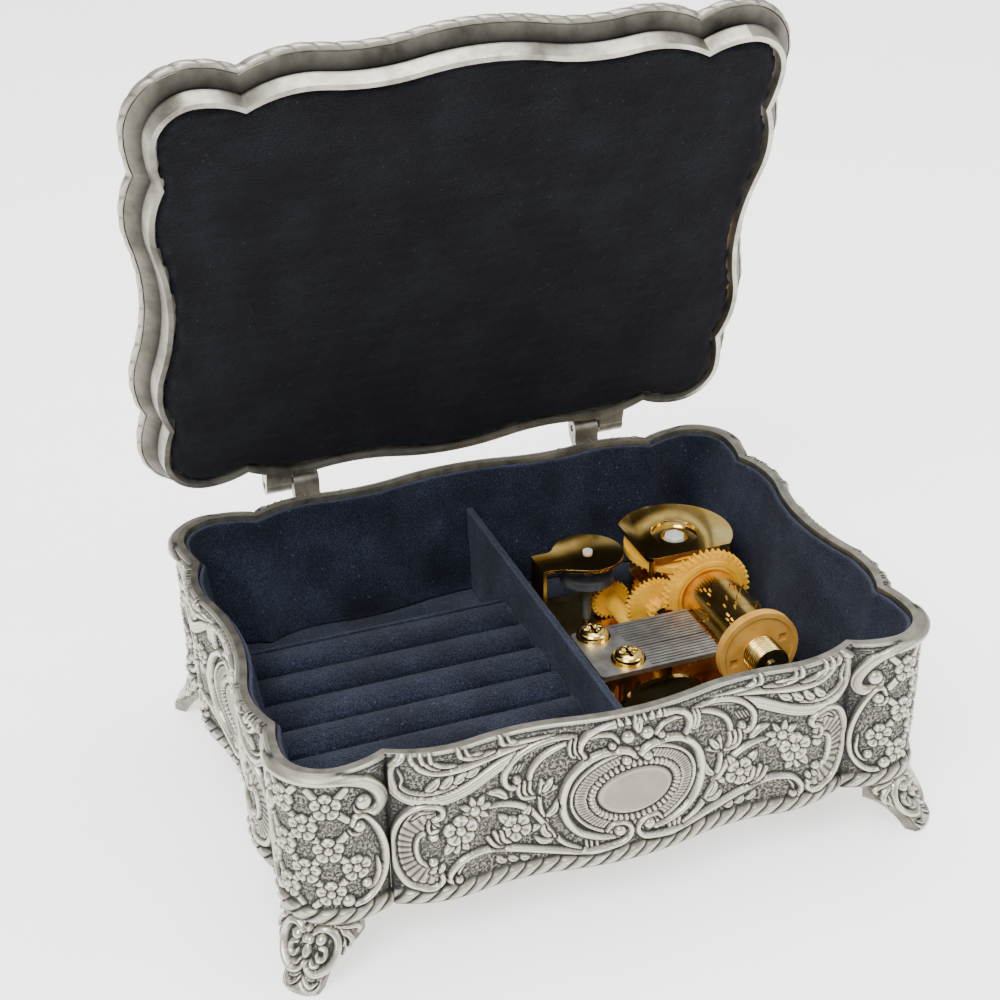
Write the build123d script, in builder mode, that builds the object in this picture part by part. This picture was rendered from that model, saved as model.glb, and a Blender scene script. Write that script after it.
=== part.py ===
"""Jewelry music box: a footed cast box with a hinged lid, velvet linings, ring rolls
and an 18-note musical movement. Millimetres, +Z up, origin on the table under the box centre."""
from build123d import *
from math import atan2, cos, pi, radians, sin
import os

os.makedirs("parts", exist_ok=True)

# Box outline at the inner edge of the rim: reaches from the centre of the box, and how far
# each dip, cusp and waist stays inside them
HALF_DEPTH = 49.8
HALF_WIDTH = 63.7
LONG_BULGE_HALF = 13.0
LONG_BULGE_RISE = 1.4
LONG_RISE_X = 31.0
LONG_RISE_DEPTH = 1.9
LONG_CUSP_X = 46.7
LONG_CUSP_DEPTH = 4.8
LOBE_RADIUS = 8.2
LOBE_SETBACK = 2.5
SHORT_CUSP_DEPTH = 1.4
SHORT_CUSP_Y = 30.3
SHORT_WAIST_DEPTH = 2.2
SHORT_SHOULDER_DEPTH = 0.1
SHORT_SHOULDER_Y = 14.5

# Cast body: widths are measured outwards from the outline
RIM_Z = 46.6
FOOT_HEIGHT = 12.3
WALL = 1.0
BELLY_WIDTH = 1.35
BELLY_Z = 30.0
RIM_WIDTH = 2.05
RIM_BAND = 1.6
RIM_ROUND = 0.6
RIM_ROOT_WIDTH = 1.25
BORDER_HEIGHT = 3.8
BORDER_WIDTH = 1.65
BORDER_ROUND = 0.7
LEDGE_SETBACK = 0.7
LEDGE_WIDTH = 2.6
LEDGE_THICKNESS = 1.2
BOTTOM_PLATE = 1.0
BOTTOM_SCREW_RADIUS = 0.6
BOTTOM_HEAD_RADIUS = 1.1
BOTTOM_HEAD = 1.0

# Linings, divider and ring rolls
SEAT_GAP = 0.1
LINING_THICKNESS = 0.9
LINING_DROP = 0.8
LINING_FOOT = 5.0
FLOOR_LINING = 1.2
DIVIDER_X = 3.0
DIVIDER_THICKNESS = 1.6
DIVIDER_TOP = 37.0
ROLL_COUNT = 7
ROLL_PITCH = 9.6
ROLL_SLIT = 0.8
ROLL_TOP = 27.5
ROLL_CROWN = 1.6
ROLL_DRAW_IN = 0.5
TRAY_BACK_Y = 24.0
TRAY_CARD = 1.0

# Lid, measured upwards from its lip with the lid closed
LID_GAP = 0.3
LID_OPEN = 73.0
LIP_WIDTH = 1.1
SKIRT_HEIGHT = 3.6
SKIRT_WIDTH = 1.7
COVE_WIDTH = 1.3
COVE_HEIGHT = 0.8
FLANGE_HEIGHT = 6.0
FLANGE_WIDTH = 4.4
EDGE_HEIGHT = 8.2
EDGE_WIDTH = 4.9
EDGE_ROUND = 0.7
DOME_STEP = 1.4
DOME_SHOULDER = 3.0
DOME_TOP = 12.2
DOME_SHARE = 0.84
DOME_TOP_SHARE = 0.6
HOLLOW_SHARE = 0.82
LUG_ROOT = 1.3
LUG_TAPER = 1.8
LID_WALL = 1.4
PANEL_RECESS = 1.0
PANEL_THICKNESS = 1.3
PANEL_SEAT = 2.0
PANEL_ROUND = 1.2
PANEL_ROUND_HEIGHT = 0.5

# Hinges
HINGE_REACH = 3.4
HINGE_RISE = 2.5
HINGE_MIDDLE_X = 36.6
KNUCKLE_RADIUS = 2.1
KNUCKLE_WIDTH = 5.7
KNUCKLE_GAP = 0.5
HINGE_PIN_RADIUS = 0.8
PIN_END_SETBACK = 0.3
BRACKET_DROP = 5.7
BRACKET_TOP = 1.4
BRACKET_FOOT = 1.7
PRESS_GAP = 0.02
RUN_GAP = 0.06

# Feet: radii are measured from the axis of the corner lobe
FOOT_SWEEP = 130.0
FOOT_TOP_OUTER = 8.9
FOOT_TOP_INNER = 6.6
FOOT_TOE_OUTER = 15.4
FOOT_TOE_INNER = 12.6
FOOT_HALF_WIDTH = 8.0
TOE_HALF_WIDTH = 3.6
TOE_ROUND = 0.6
FOOT_TOP_SPREAD = 0.2
FOOT_FRONT_CURVE = [(1.2, 0.74), (3.0, 0.45)]
FOOT_BACK_CURVE = [(3.0, 0.42), (1.3, 0.72)]
FOOT_SIDE_CURVE = [(0.6, 0.24), (2.0, 0.49)]
FOOT_SHOULDER = 0.72

# Movement frame and comb
BEDPLATE = 2.0
BED_LEFT_X = 6.5
BED_RIGHT_X = 54.0
BED_FRONT_Y = -28.5
BED_BACK_Y = 32.0
BED_CORNER = 9.0
BED_NOTCH = 3.0
BED_ROUND = 1.4
COMB_LEFT_X = 6.8
COMB_FRONT_Y = -20.1
COMB_BACK_Y = -2.9
COMB_TOP_Z = 32.0
COMB_THICKNESS = 1.1
COMB_SLIT = 0.28
COMB_SPLIT = 0.5
SPLIT_NOTE = 8
NOTES = 18
TIP_GAP = 0.15
ROOT_BACK_X = 15.7
ROOT_FRONT_X = 18.2
COMB_SHELF = 1.6
COMB_WEB = 1.4
COMB_BASE_SETBACK = 0.2
COMB_WEB_SETBACK = 0.4
COMB_POST_WIDTH = 2.0
COMB_POST_DEPTH = 2.4
COMB_POST_SETBACK = 0.7
COMB_ROUND = 1.0
COMB_SCREWS = [(11.0, -5.6), (14.3, -16.0)]
SCREW_FLANGE = 3.6
SCREW_DOME = 3.2
SCREW_HEIGHT = 1.9
SCREW_SHANK = 1.3
SCREW_RIM = 0.4
SCREW_ROUND_SHARE = 0.75
SCREW_TIP = 1.0
MOVEMENT_SCREWS = [(11.0, -24.6), (50.4, -6.0), (13.0, 28.6)]
MOVEMENT_SCREW_RADIUS = 1.0
MOVEMENT_HEAD_RADIUS = 2.0
MOVEMENT_HEAD = 1.0

# Cylinder and gear train
SPINDLE_X = 40.8
SPINDLE_Z = 31.4
CYLINDER_RADIUS = 6.5
CYLINDER_FRONT_Y = -20.5
CYLINDER_BACK_Y = 0.9
CYLINDER_TUBE = 0.8
SPINDLE_RADIUS = 1.2
PIN_HEIGHT = 0.6
PIN_SIZE = 0.4
PINS_PER_NOTE = 5
NOTE_TURN = 137.5
PIN_STAGGER = 0.18
DISC_RADIUS = 8.95
DISC_THICKNESS = 1.9
DISC_RIM = 1.1
DISC_EYE = 1.0
DISC_RECESS = 0.4
DISC_HOLE = 1.8
DISC_HOLE_DEPTH = 1.2
DISC_HOLES = [(5.8, 20.0), (5.8, 200.0)]
BUSHING_RADIUS = 2.6
BUSHING_LENGTH = 2.6
GEAR_SETBACK = 0.4
GEAR_THICKNESS = 2.2
GEAR_RIM_INNER = 0.8
GEAR_RIM_OUTER = 1.7
TRAIN_MODULE = 0.45
FINE_MODULE = 0.35
CYLINDER_TEETH = 43
FIRST_PINION_TEETH = 8
WHEEL_TEETH = 34
SECOND_PINION_TEETH = 10
WORM_WHEEL_TEETH = 24
CROWN_TEETH = 41
ADDENDUM = 0.85
DEDENDUM = 1.25
TIP_SHARE = 0.11
ROOT_SHARE = 0.26
WHEEL_BEARING = 189.0
WORM_BEARING = 246.0
WHEEL_GAP = 0.6
WHEEL_THICKNESS = 1.4
WORM_WHEEL_Y = 20.3
WORM_HUB_RADIUS = 1.9
AXLE_RADIUS = 0.8
WORM_RADIUS = 1.0
WORM_GAP = 0.1
POST_THICKNESS = 1.6
PLATE_THICKNESS = 1.0
FRONT_POST_Y = -25.0
FRONT_POST_THICKNESS = 3.0
FRONT_POST_HALF = 3.5
REAR_POST_Y = 6.2
REAR_POST_HALF = 2.8
FRONT_PLATE_Y = -0.8
FRONT_PLATE_FOOT = 7.0
BOSS_RADIUS = 2.4
REAR_PLATE_Y = 8.0
REAR_PLATE_RIGHT = 4.5
REAR_PLATE_LEFT = 2.3
REAR_PLATE_FOOT = 0.5
REAR_PLATE_SHOULDER = 7.6
REAR_PLATE_CREST = 2.0
WORM_POST_HALF = 1.8
WORM_SLOT_SHARE = 0.8
SCREW_PILOT_SHARE = 0.6
FRONT_WALL_Y = -23.4
FRONT_WALL_THICKNESS = 1.2
FRONT_WALL_LEFT_X = 8.6
FRONT_WALL_RIGHT_X = 31.0
FRONT_WALL_WAVE = [(2.8, 11.2), (8.4, 13.0), (14.9, 12.4), (19.3, 8.8)]
FRONT_WALL_START = 6.5
FRONT_WALL_END = 4.0
AXLE_END = 0.5
END_PLAY = 0.1
HUB_SETBACK = 0.4

# Spring barrel, cover and winding
BARREL_Y = 18.4
BARREL_RADIUS = 9.8
BARREL_BOTTOM = 20.2
BARREL_HEIGHT = 8.4
BARREL_WALL = 0.8
SPRING_COIL = 4.0
CROWN_PITCH_RADIUS = 9.3
CROWN_FACE = 2.8
CROWN_RADIUS = 11.2
CROWN_DISC = 1.5
TOOTH_SINK = 0.1
COVER_TOP = 37.8
COVER_RADIUS = 12.8
COVER_THICKNESS = 1.0
COVER_FLAT_FRONT = 9.0
COVER_FLAT_LEFT = 10.2
COVER_LIP = 1.6
COVER_LEG_RADIUS = 0.6
COVER_LEGS = [221.0, 75.0, -25.0]
COVER_LEG_CIRCLE = 12.1
WELL_RADIUS = 5.3
WELL_DEPTH = 2.0
WELL_FLOOR = 0.5
WELL_BORE = 3.0
WELL_TAPER = 12.0
COVER_LIP_SETBACK = 0.6
HUB_RADIUS = 2.4
HUB_HEIGHT = 2.0
HUB_CHAMFER = 0.35
ARBOR_RADIUS = 1.6
ARBOR_TIP_RADIUS = 1.2
ARBOR_TIP = 1.0
RATCHET_TEETH = 16
RATCHET_RADIUS = 5.0
RATCHET_ROOT = 4.2
RATCHET_THICKNESS = 1.1
RATCHET_RISE = 0.3
PAWL_PIVOT = (150.0, 8.0)
PAWL_TIP = (190.0, 5.4)
PAWL_PIVOT_RADIUS = 1.1
PAWL_TIP_RADIUS = 0.25
PAWL_PIN_SHARE = 0.6
KEY_WING_RADIUS = 4.4
KEY_SPREAD = 6.2
KEY_THICKNESS = 1.8
KEY_CLEARANCE = 1.8
KEY_HUB_RADIUS = 2.6
KEY_HUB_HEIGHT = 6.5
KEY_HUB_RISE = 1.0
KEY_SOCKET = 4.0
KEY_EYE_SHARE = 0.42

# Governor
GOVERNOR_TOP = 36.0
GOVERNOR_PLATE = 0.8
GOVERNOR_RADIUS = 7.9
GOVERNOR_LEFT_X = 8.6
GOVERNOR_NECK_X = 12.0
GOVERNOR_FLANGE = (16.0, 23.3)
GOVERNOR_FOOT = 5.0
GOVERNOR_NECK_ANGLE = 130.0
GOVERNOR_HEEL_ANGLE = 240.0
FAN_RADIUS = 6.2
FAN_Z = 29.6
FAN_HEIGHT = 1.6
FAN_WALL = 0.5
GOVERNOR_SHAFT = 0.6
SHAFT_PLAY = 0.4
WORM_START = 0.3
WORM_STEP = 0.5
FAN_NECK = 1.0
FAN_FLARE = 0.5
FAN_SLOPE = 0.4
FAN_LIP = 0.8
BRACKET_SCREW_RADIUS = 1.5
BRACKET_SCREW_HEIGHT = 0.9
BRACKET_SCREW_SHARE = 0.6
PIVOT_CAP_RADIUS = 1.05
PIVOT_CAP = 0.5

# Heights and centres that follow from the sizes above
LONG_DIP_Y = HALF_DEPTH - LONG_BULGE_RISE
LONG_RISE = (LONG_RISE_X, HALF_DEPTH - LONG_RISE_DEPTH)
LONG_CUSP = (LONG_CUSP_X, HALF_DEPTH - LONG_CUSP_DEPTH)
LOBE_X = HALF_WIDTH - LOBE_RADIUS
LOBE_Y = HALF_DEPTH - LOBE_SETBACK - LOBE_RADIUS
SHORT_CUSP = (HALF_WIDTH - SHORT_CUSP_DEPTH, SHORT_CUSP_Y)
SHORT_WAIST_X = HALF_WIDTH - SHORT_WAIST_DEPTH
SHORT_SHOULDER = (HALF_WIDTH - SHORT_SHOULDER_DEPTH, SHORT_SHOULDER_Y)
HINGE_Y = HALF_DEPTH + HINGE_REACH
LEDGE_TOP = FOOT_HEIGHT + LEDGE_SETBACK + LEDGE_THICKNESS
PLATE_TOP = LEDGE_TOP + BOTTOM_PLATE
FLOOR_TOP = PLATE_TOP + FLOOR_LINING
BED_TOP = FLOOR_TOP + BEDPLATE
HINGE_Z = RIM_Z + HINGE_RISE
LINING_TOP = RIM_Z - LINING_DROP
GEAR_FRONT_Y = CYLINDER_BACK_Y + GEAR_SETBACK
GEAR_BACK_Y = GEAR_FRONT_Y + GEAR_THICKNESS
WHEEL_FRONT_Y = GEAR_BACK_Y + WHEEL_GAP
WHEEL_BACK_Y = WHEEL_FRONT_Y + WHEEL_THICKNESS
CROWN_MODULE = 2 * CROWN_PITCH_RADIUS / CROWN_TEETH
PINION_MIDDLE_Y = BARREL_Y - CROWN_PITCH_RADIUS
CROWN_PITCH_Z = SPINDLE_Z + CROWN_MODULE * FIRST_PINION_TEETH / 2
CROWN_ROOT_Z = CROWN_PITCH_Z + DEDENDUM * CROWN_MODULE
CROWN_TOP = CROWN_ROOT_Z + CROWN_DISC
CORNERS = [
    ("front_left", -1, -1),
    ("front_right", 1, -1),
    ("back_left", -1, 1),
    ("back_right", 1, 1),
]


def write(piece, name):
    """Labels a finished sub-part and writes its STEP file."""
    piece.part.label = name
    export_step(piece.part, f"parts/{name}.step")


def polar(radius, angle, centre=(0, 0)):
    """Point at a radius and an angle in degrees from a centre."""
    return (centre[0] + radius * cos(radians(angle)), centre[1] + radius * sin(radians(angle)))


def front_plane(y):
    """Plane that faces the front at the given depth: its sketches use the model's X and Z."""
    return Plane(origin=(0, y, 0), x_dir=(1, 0, 0), z_dir=(0, -1, 0))


def serpentine(grow, share=1.0):
    """Face inside the rim outline moved outwards by grow, then scaled by share; always the same arcs."""
    with BuildSketch() as face:
        with BuildLine():
            for side in (1, -1):
                dip_y = side * (LONG_DIP_Y + grow)
                bulge_y = side * (HALF_DEPTH + grow)
                ThreePointArc((-LONG_BULGE_HALF, dip_y), (0, bulge_y), (LONG_BULGE_HALF, dip_y))
                shoulder = (side * (SHORT_SHOULDER[0] + grow), SHORT_SHOULDER[1])
                waist = (side * (SHORT_WAIST_X + grow), 0)
                ThreePointArc(shoulder, waist, (shoulder[0], -shoulder[1]))
            for _, sx, sy in CORNERS:
                quarter_outline(sx, sy, grow)
        make_face()
    return face.sketch.scale(share)


def arc_end_slope(half_chord, rise):
    """Angle from the chord, in radians, at the end of a shallow arc."""
    return 2 * atan2(rise, half_chord)


def quarter_outline(sx, sy, grow):
    """Arcs of one quarter of the outline between the middles of its two sides."""
    def place(point, along_x, along_y):
        return (sx * (point[0] + along_x * grow), sy * (point[1] + along_y * grow))

    fall = arc_end_slope(LONG_BULGE_HALF, HALF_DEPTH - LONG_DIP_Y)
    dip = place((LONG_BULGE_HALF, LONG_DIP_Y), 0, 1)
    rise = place(LONG_RISE, 0, 1)
    long_cusp = place(LONG_CUSP, 0, 1)
    hollow = TangentArc(dip, rise, tangent=(sx * cos(fall), -sy * sin(fall)))
    TangentArc(rise, long_cusp, tangent=hollow % 1)
    top = place((LOBE_X, LOBE_Y + LOBE_RADIUS), 0, 1)
    side = place((LOBE_X + LOBE_RADIUS, LOBE_Y), 1, 0)
    short_cusp = place(SHORT_CUSP, 1, 0)
    TangentArc(top, long_cusp, tangent=(-sx, 0))
    TangentArc(top, side, tangent=(sx, 0))
    TangentArc(side, short_cusp, tangent=(0, -sy))
    lean = arc_end_slope(SHORT_SHOULDER[1], SHORT_SHOULDER[0] - SHORT_WAIST_X)
    shoulder = place(SHORT_SHOULDER, 1, 0)
    TangentArc(shoulder, short_cusp, tangent=(sx * sin(lean), sy * cos(lean)))


def gear_face(teeth, module, phase, centre):
    """Toothed face with straight flanks and backlash; one tooth points at the phase angle."""
    pitch = 360 / teeth
    root = module * (teeth / 2 - DEDENDUM)
    tip = module * (teeth / 2 + ADDENDUM)
    corners = ((root, -ROOT_SHARE), (tip, -TIP_SHARE), (tip, TIP_SHARE), (root, ROOT_SHARE))
    points = []
    for tooth in range(teeth):
        for radius, share in corners:
            points.append(polar(radius, phase + (tooth + share) * pitch, centre))
    with BuildSketch() as face:
        with BuildLine():
            Polyline(*points, close=True)
        make_face()
    return face.sketch


def room_block(gap):
    """Solid that fills the lined room, smaller all round by the gap."""
    with BuildPart() as room:
        with BuildSketch(Plane.XY.offset(FLOOR_TOP)):
            add(serpentine(-LINING_FOOT - gap))
        with BuildSketch(Plane.XY.offset(LINING_TOP)):
            add(serpentine(-LINING_THICKNESS - SEAT_GAP - gap))
        loft(ruled=True)
    return room.part


def foot_plane(sx, sy, angle=0):
    """Upright plane through the axis of a corner lobe, turned from the outward diagonal."""
    heading = Vector(sx, sy, 0).normalized().rotate(Axis.Z, angle)
    centre = (sx * LOBE_X, sy * LOBE_Y, 0)
    return Plane(origin=centre, x_dir=heading, z_dir=heading.cross(Vector(0, 0, 1)))


# Cast body with its ledge and the case halves of the hinges
body_sections = [
    (FOOT_HEIGHT, WALL),
    (FOOT_HEIGHT + BORDER_ROUND, BORDER_WIDTH),
    (FOOT_HEIGHT + BORDER_HEIGHT - BORDER_ROUND, BORDER_WIDTH),
    (FOOT_HEIGHT + BORDER_HEIGHT, WALL),
    (BELLY_Z, BELLY_WIDTH),
    (RIM_Z - RIM_BAND - RIM_ROUND, RIM_ROOT_WIDTH),
    (RIM_Z - RIM_BAND, RIM_WIDTH),
    (RIM_Z - RIM_ROUND, RIM_WIDTH),
    (RIM_Z, RIM_WIDTH - RIM_ROUND),
]
with BuildPart() as box_body:
    for z, grow in body_sections:
        with BuildSketch(Plane.XY.offset(z)):
            add(serpentine(grow))
    loft(ruled=True)
    for side in (-1, 1):
        inner_x = side * HINGE_MIDDLE_X - (KNUCKLE_WIDTH if side > 0 else 0) - side * KNUCKLE_GAP / 2
        with BuildSketch(Plane.YZ.offset(inner_x)):
            with BuildLine():
                Polyline(
                    (LONG_DIP_Y, HINGE_Z - BRACKET_DROP),
                    (LONG_DIP_Y, RIM_Z - LID_GAP),
                    (HINGE_Y - KNUCKLE_RADIUS, RIM_Z - LID_GAP),
                    (HINGE_Y - KNUCKLE_RADIUS, HINGE_Z),
                    (HINGE_Y + KNUCKLE_RADIUS, HINGE_Z),
                    (HINGE_Y + BRACKET_TOP, RIM_Z),
                    (HINGE_Y - BRACKET_FOOT, HINGE_Z - BRACKET_DROP),
                    close=True,
                )
            make_face()
            with Locations((HINGE_Y, HINGE_Z)):
                Circle(KNUCKLE_RADIUS)
        extrude(amount=KNUCKLE_WIDTH)
        with BuildSketch(Plane.YZ.offset(inner_x)):
            with Locations((HINGE_Y, HINGE_Z)):
                Circle(HINGE_PIN_RADIUS + PRESS_GAP)
        extrude(amount=KNUCKLE_WIDTH, mode=Mode.SUBTRACT)
    with BuildSketch(Plane.XY.offset(LEDGE_TOP)):
        add(serpentine(0))
    extrude(amount=RIM_Z - LEDGE_TOP, mode=Mode.SUBTRACT)
    with BuildSketch(Plane.XY.offset(FOOT_HEIGHT)):
        add(serpentine(0))
    extrude(amount=LEDGE_SETBACK, mode=Mode.SUBTRACT)
    with BuildSketch(Plane.XY.offset(FOOT_HEIGHT)):
        add(serpentine(-LEDGE_WIDTH))
    extrude(amount=LEDGE_TOP - FOOT_HEIGHT, mode=Mode.SUBTRACT)
    with BuildSketch(Plane.XY.offset(FOOT_HEIGHT)):
        for _, sx, sy in CORNERS:
            with Locations((sx * LONG_RISE[0], sy * (LONG_RISE[1] - LEDGE_WIDTH / 2))):
                Circle(BOTTOM_SCREW_RADIUS + PRESS_GAP)
    extrude(amount=LEDGE_TOP - FOOT_HEIGHT, mode=Mode.SUBTRACT)
write(box_body, "box_body")

# Bottom plate on the ledge, with a hole for the winding arbor
with BuildPart() as bottom_plate:
    with BuildSketch(Plane.XY.offset(LEDGE_TOP)):
        add(serpentine(-SEAT_GAP))
        with Locations((SPINDLE_X, BARREL_Y)):
            Circle(2 * ARBOR_RADIUS, mode=Mode.SUBTRACT)
        with Locations(*MOVEMENT_SCREWS):
            Circle(MOVEMENT_SCREW_RADIUS + PRESS_GAP, mode=Mode.SUBTRACT)
        for _, sx, sy in CORNERS:
            with Locations((sx * LONG_RISE[0], sy * (LONG_RISE[1] - LEDGE_WIDTH / 2))):
                Circle(BOTTOM_SCREW_RADIUS + PRESS_GAP, mode=Mode.SUBTRACT)
    extrude(amount=BOTTOM_PLATE)
write(bottom_plate, "bottom_plate")

# Screws that hold the bottom plate, from below
with BuildPart() as bottom_screws:
    for _, sx, sy in CORNERS:
        at = (sx * LONG_RISE[0], sy * (LONG_RISE[1] - LEDGE_WIDTH / 2))
        with BuildSketch(Plane.XY.offset(FOOT_HEIGHT + LEDGE_SETBACK)):
            with Locations(at):
                Circle(BOTTOM_HEAD_RADIUS)
        extrude(amount=-BOTTOM_HEAD)
        with BuildSketch(Plane.XY.offset(FOOT_HEIGHT + LEDGE_SETBACK)):
            with Locations(at):
                Circle(BOTTOM_SCREW_RADIUS)
        extrude(amount=LEDGE_THICKNESS + BOTTOM_PLATE)
write(bottom_screws, "bottom_screws")

# Cast scroll feet: turned about the corner lobe, then cut to the bracket outline
foot_top_half = FOOT_HALF_WIDTH + FOOT_TOP_SPREAD
for name, sx, sy in CORNERS:
    with BuildPart() as foot:
        with BuildSketch(foot_plane(sx, sy, -FOOT_SWEEP / 2)):
            with BuildLine():
                heel = Line((FOOT_TOP_INNER, FOOT_HEIGHT), (FOOT_TOP_OUTER, FOOT_HEIGHT))
                front = Spline(
                    heel @ 1,
                    *[(FOOT_TOP_OUTER + out, share * FOOT_HEIGHT) for out, share in FOOT_FRONT_CURVE],
                    (FOOT_TOE_OUTER, TOE_ROUND),
                )
                toe = Line(front @ 1, (FOOT_TOE_OUTER - TOE_ROUND, 0))
                sole = Line(toe @ 1, (FOOT_TOE_INNER, 0))
                Spline(
                    sole @ 1,
                    *[(FOOT_TOP_INNER + out, share * FOOT_HEIGHT) for out, share in FOOT_BACK_CURVE],
                    heel @ 0,
                )
            make_face()
        revolve(axis=Axis((sx * LOBE_X, sy * LOBE_Y, 0), (0, 0, 1)), revolution_arc=FOOT_SWEEP)
        outward = Vector(sx, sy, 0).normalized()
        front_view = Plane(
            origin=(sx * LOBE_X, sy * LOBE_Y, 0), x_dir=Vector(0, 0, 1).cross(outward), z_dir=outward
        )
        with BuildSketch(front_view):
            with BuildLine():
                for side in (-1, 1):
                    bracket = Spline(
                        (side * TOE_HALF_WIDTH, 0),
                        *[
                            (side * (TOE_HALF_WIDTH + out), share * FOOT_HEIGHT)
                            for out, share in FOOT_SIDE_CURVE
                        ],
                        (side * FOOT_HALF_WIDTH, FOOT_SHOULDER * FOOT_HEIGHT),
                    )
                    Line(bracket @ 1, (side * foot_top_half, FOOT_HEIGHT))
                Line((-TOE_HALF_WIDTH, 0), (TOE_HALF_WIDTH, 0))
                Line((-foot_top_half, FOOT_HEIGHT), (foot_top_half, FOOT_HEIGHT))
            make_face()
        extrude(amount=2 * FOOT_TOE_OUTER, mode=Mode.INTERSECT)
    write(foot, f"foot_{name}")

# Velvet linings of the floor and the walls
with BuildPart() as floor_lining:
    with BuildSketch(Plane.XY.offset(PLATE_TOP)):
        add(serpentine(-SEAT_GAP))
        with Locations((SPINDLE_X, BARREL_Y)):
            Circle(2 * ARBOR_RADIUS, mode=Mode.SUBTRACT)
        with Locations(*MOVEMENT_SCREWS):
            Circle(MOVEMENT_SCREW_RADIUS + PRESS_GAP, mode=Mode.SUBTRACT)
    extrude(amount=FLOOR_LINING)
write(floor_lining, "floor_lining")

with BuildPart() as wall_lining:
    with BuildSketch(Plane.XY.offset(FLOOR_TOP)):
        add(serpentine(-SEAT_GAP))
    extrude(amount=LINING_TOP - FLOOR_TOP)
    add(room_block(0), mode=Mode.SUBTRACT)
write(wall_lining, "wall_lining")

# Upright divider between the ring rolls and the movement
with BuildPart() as divider:
    with BuildSketch(Plane.XY.offset(FLOOR_TOP)):
        with Locations((DIVIDER_X, 0)):
            Rectangle(DIVIDER_THICKNESS, 2 * HALF_DEPTH)
    extrude(amount=DIVIDER_TOP - FLOOR_TOP)
    add(room_block(SEAT_GAP), mode=Mode.INTERSECT)
write(divider, "divider")

# Card tray with the ring rolls
tray_right_x = DIVIDER_X - DIVIDER_THICKNESS / 2 - SEAT_GAP
tray_front_y = TRAY_BACK_Y - ROLL_COUNT * ROLL_PITCH - ROLL_SLIT
tray_length = tray_right_x + LOBE_X + LOBE_RADIUS
with BuildPart() as roll_tray:
    with BuildSketch(Plane.XY.offset(FLOOR_TOP)):
        with Locations((tray_right_x, TRAY_BACK_Y + TRAY_CARD)):
            Rectangle(
                tray_length, TRAY_BACK_Y + TRAY_CARD - tray_front_y, align=(Align.MAX, Align.MAX)
            )
    extrude(amount=TRAY_CARD)
    with BuildSketch(Plane.XY.offset(FLOOR_TOP)):
        with Locations((tray_right_x, TRAY_BACK_Y + TRAY_CARD)):
            Rectangle(tray_length, TRAY_CARD, align=(Align.MAX, Align.MAX))
    extrude(amount=ROLL_TOP - ROLL_CROWN - FLOOR_TOP)
    add(room_block(SEAT_GAP), mode=Mode.INTERSECT)
write(roll_tray, "roll_tray")

for number in range(ROLL_COUNT):
    middle_y = TRAY_BACK_Y - (number + 0.5) * ROLL_PITCH - ROLL_SLIT / 2
    half = (ROLL_PITCH - ROLL_SLIT) / 2
    base_z = FLOOR_TOP + TRAY_CARD
    shoulder_z = ROLL_TOP - ROLL_CROWN
    with BuildPart() as ring_roll:
        with BuildSketch(Plane.YZ.offset(tray_right_x)):
            with BuildLine():
                for side in (-1, 1):
                    ThreePointArc(
                        (middle_y + side * (half - ROLL_DRAW_IN), base_z),
                        (middle_y + side * half, (base_z + shoulder_z) / 2),
                        (middle_y + side * (half - ROLL_DRAW_IN / 2), shoulder_z),
                    )
                ThreePointArc(
                    (middle_y - half + ROLL_DRAW_IN / 2, shoulder_z),
                    (middle_y, ROLL_TOP),
                    (middle_y + half - ROLL_DRAW_IN / 2, shoulder_z),
                )
                Line((middle_y - half + ROLL_DRAW_IN, base_z), (middle_y + half - ROLL_DRAW_IN, base_z))
            make_face()
        extrude(amount=-tray_length)
        add(room_block(SEAT_GAP), mode=Mode.INTERSECT)
    write(ring_roll, f"ring_roll_{number + 1}")

# Lid, drawn where it stands open: its plane lies on the lip and turns about the hinge axis
lid_drop = HINGE_RISE - LID_GAP
lid_cos = cos(radians(LID_OPEN))
lid_sin = sin(radians(LID_OPEN))
LID_PLANE = Plane(
    origin=(
        0,
        HINGE_Y - HINGE_Y * lid_cos - lid_drop * lid_sin,
        HINGE_Z + HINGE_Y * lid_sin - lid_drop * lid_cos,
    ),
    x_dir=(1, 0, 0),
    z_dir=(0, lid_sin, lid_cos),
)
lid_sections = [
    (0, LIP_WIDTH, 1),
    (SKIRT_HEIGHT, SKIRT_WIDTH, 1),
    (SKIRT_HEIGHT + COVE_HEIGHT, COVE_WIDTH, 1),
    (FLANGE_HEIGHT, FLANGE_WIDTH, 1),
    (FLANGE_HEIGHT + EDGE_ROUND, EDGE_WIDTH, 1),
    (EDGE_HEIGHT, EDGE_WIDTH, 1),
    (EDGE_HEIGHT + EDGE_ROUND / 2, EDGE_WIDTH - EDGE_ROUND, 1),
    (EDGE_HEIGHT + DOME_STEP, -1, 1),
    (EDGE_HEIGHT + DOME_SHOULDER, -1, DOME_SHARE),
    (DOME_TOP, -1, DOME_TOP_SHARE),
]
hollow_sections = [
    (PANEL_RECESS + PANEL_THICKNESS + SEAT_GAP, -PANEL_SEAT, 1),
    (EDGE_HEIGHT, -PANEL_SEAT, 1),
    (EDGE_HEIGHT + DOME_SHOULDER - LID_WALL, -PANEL_SEAT, HOLLOW_SHARE),
]
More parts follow.
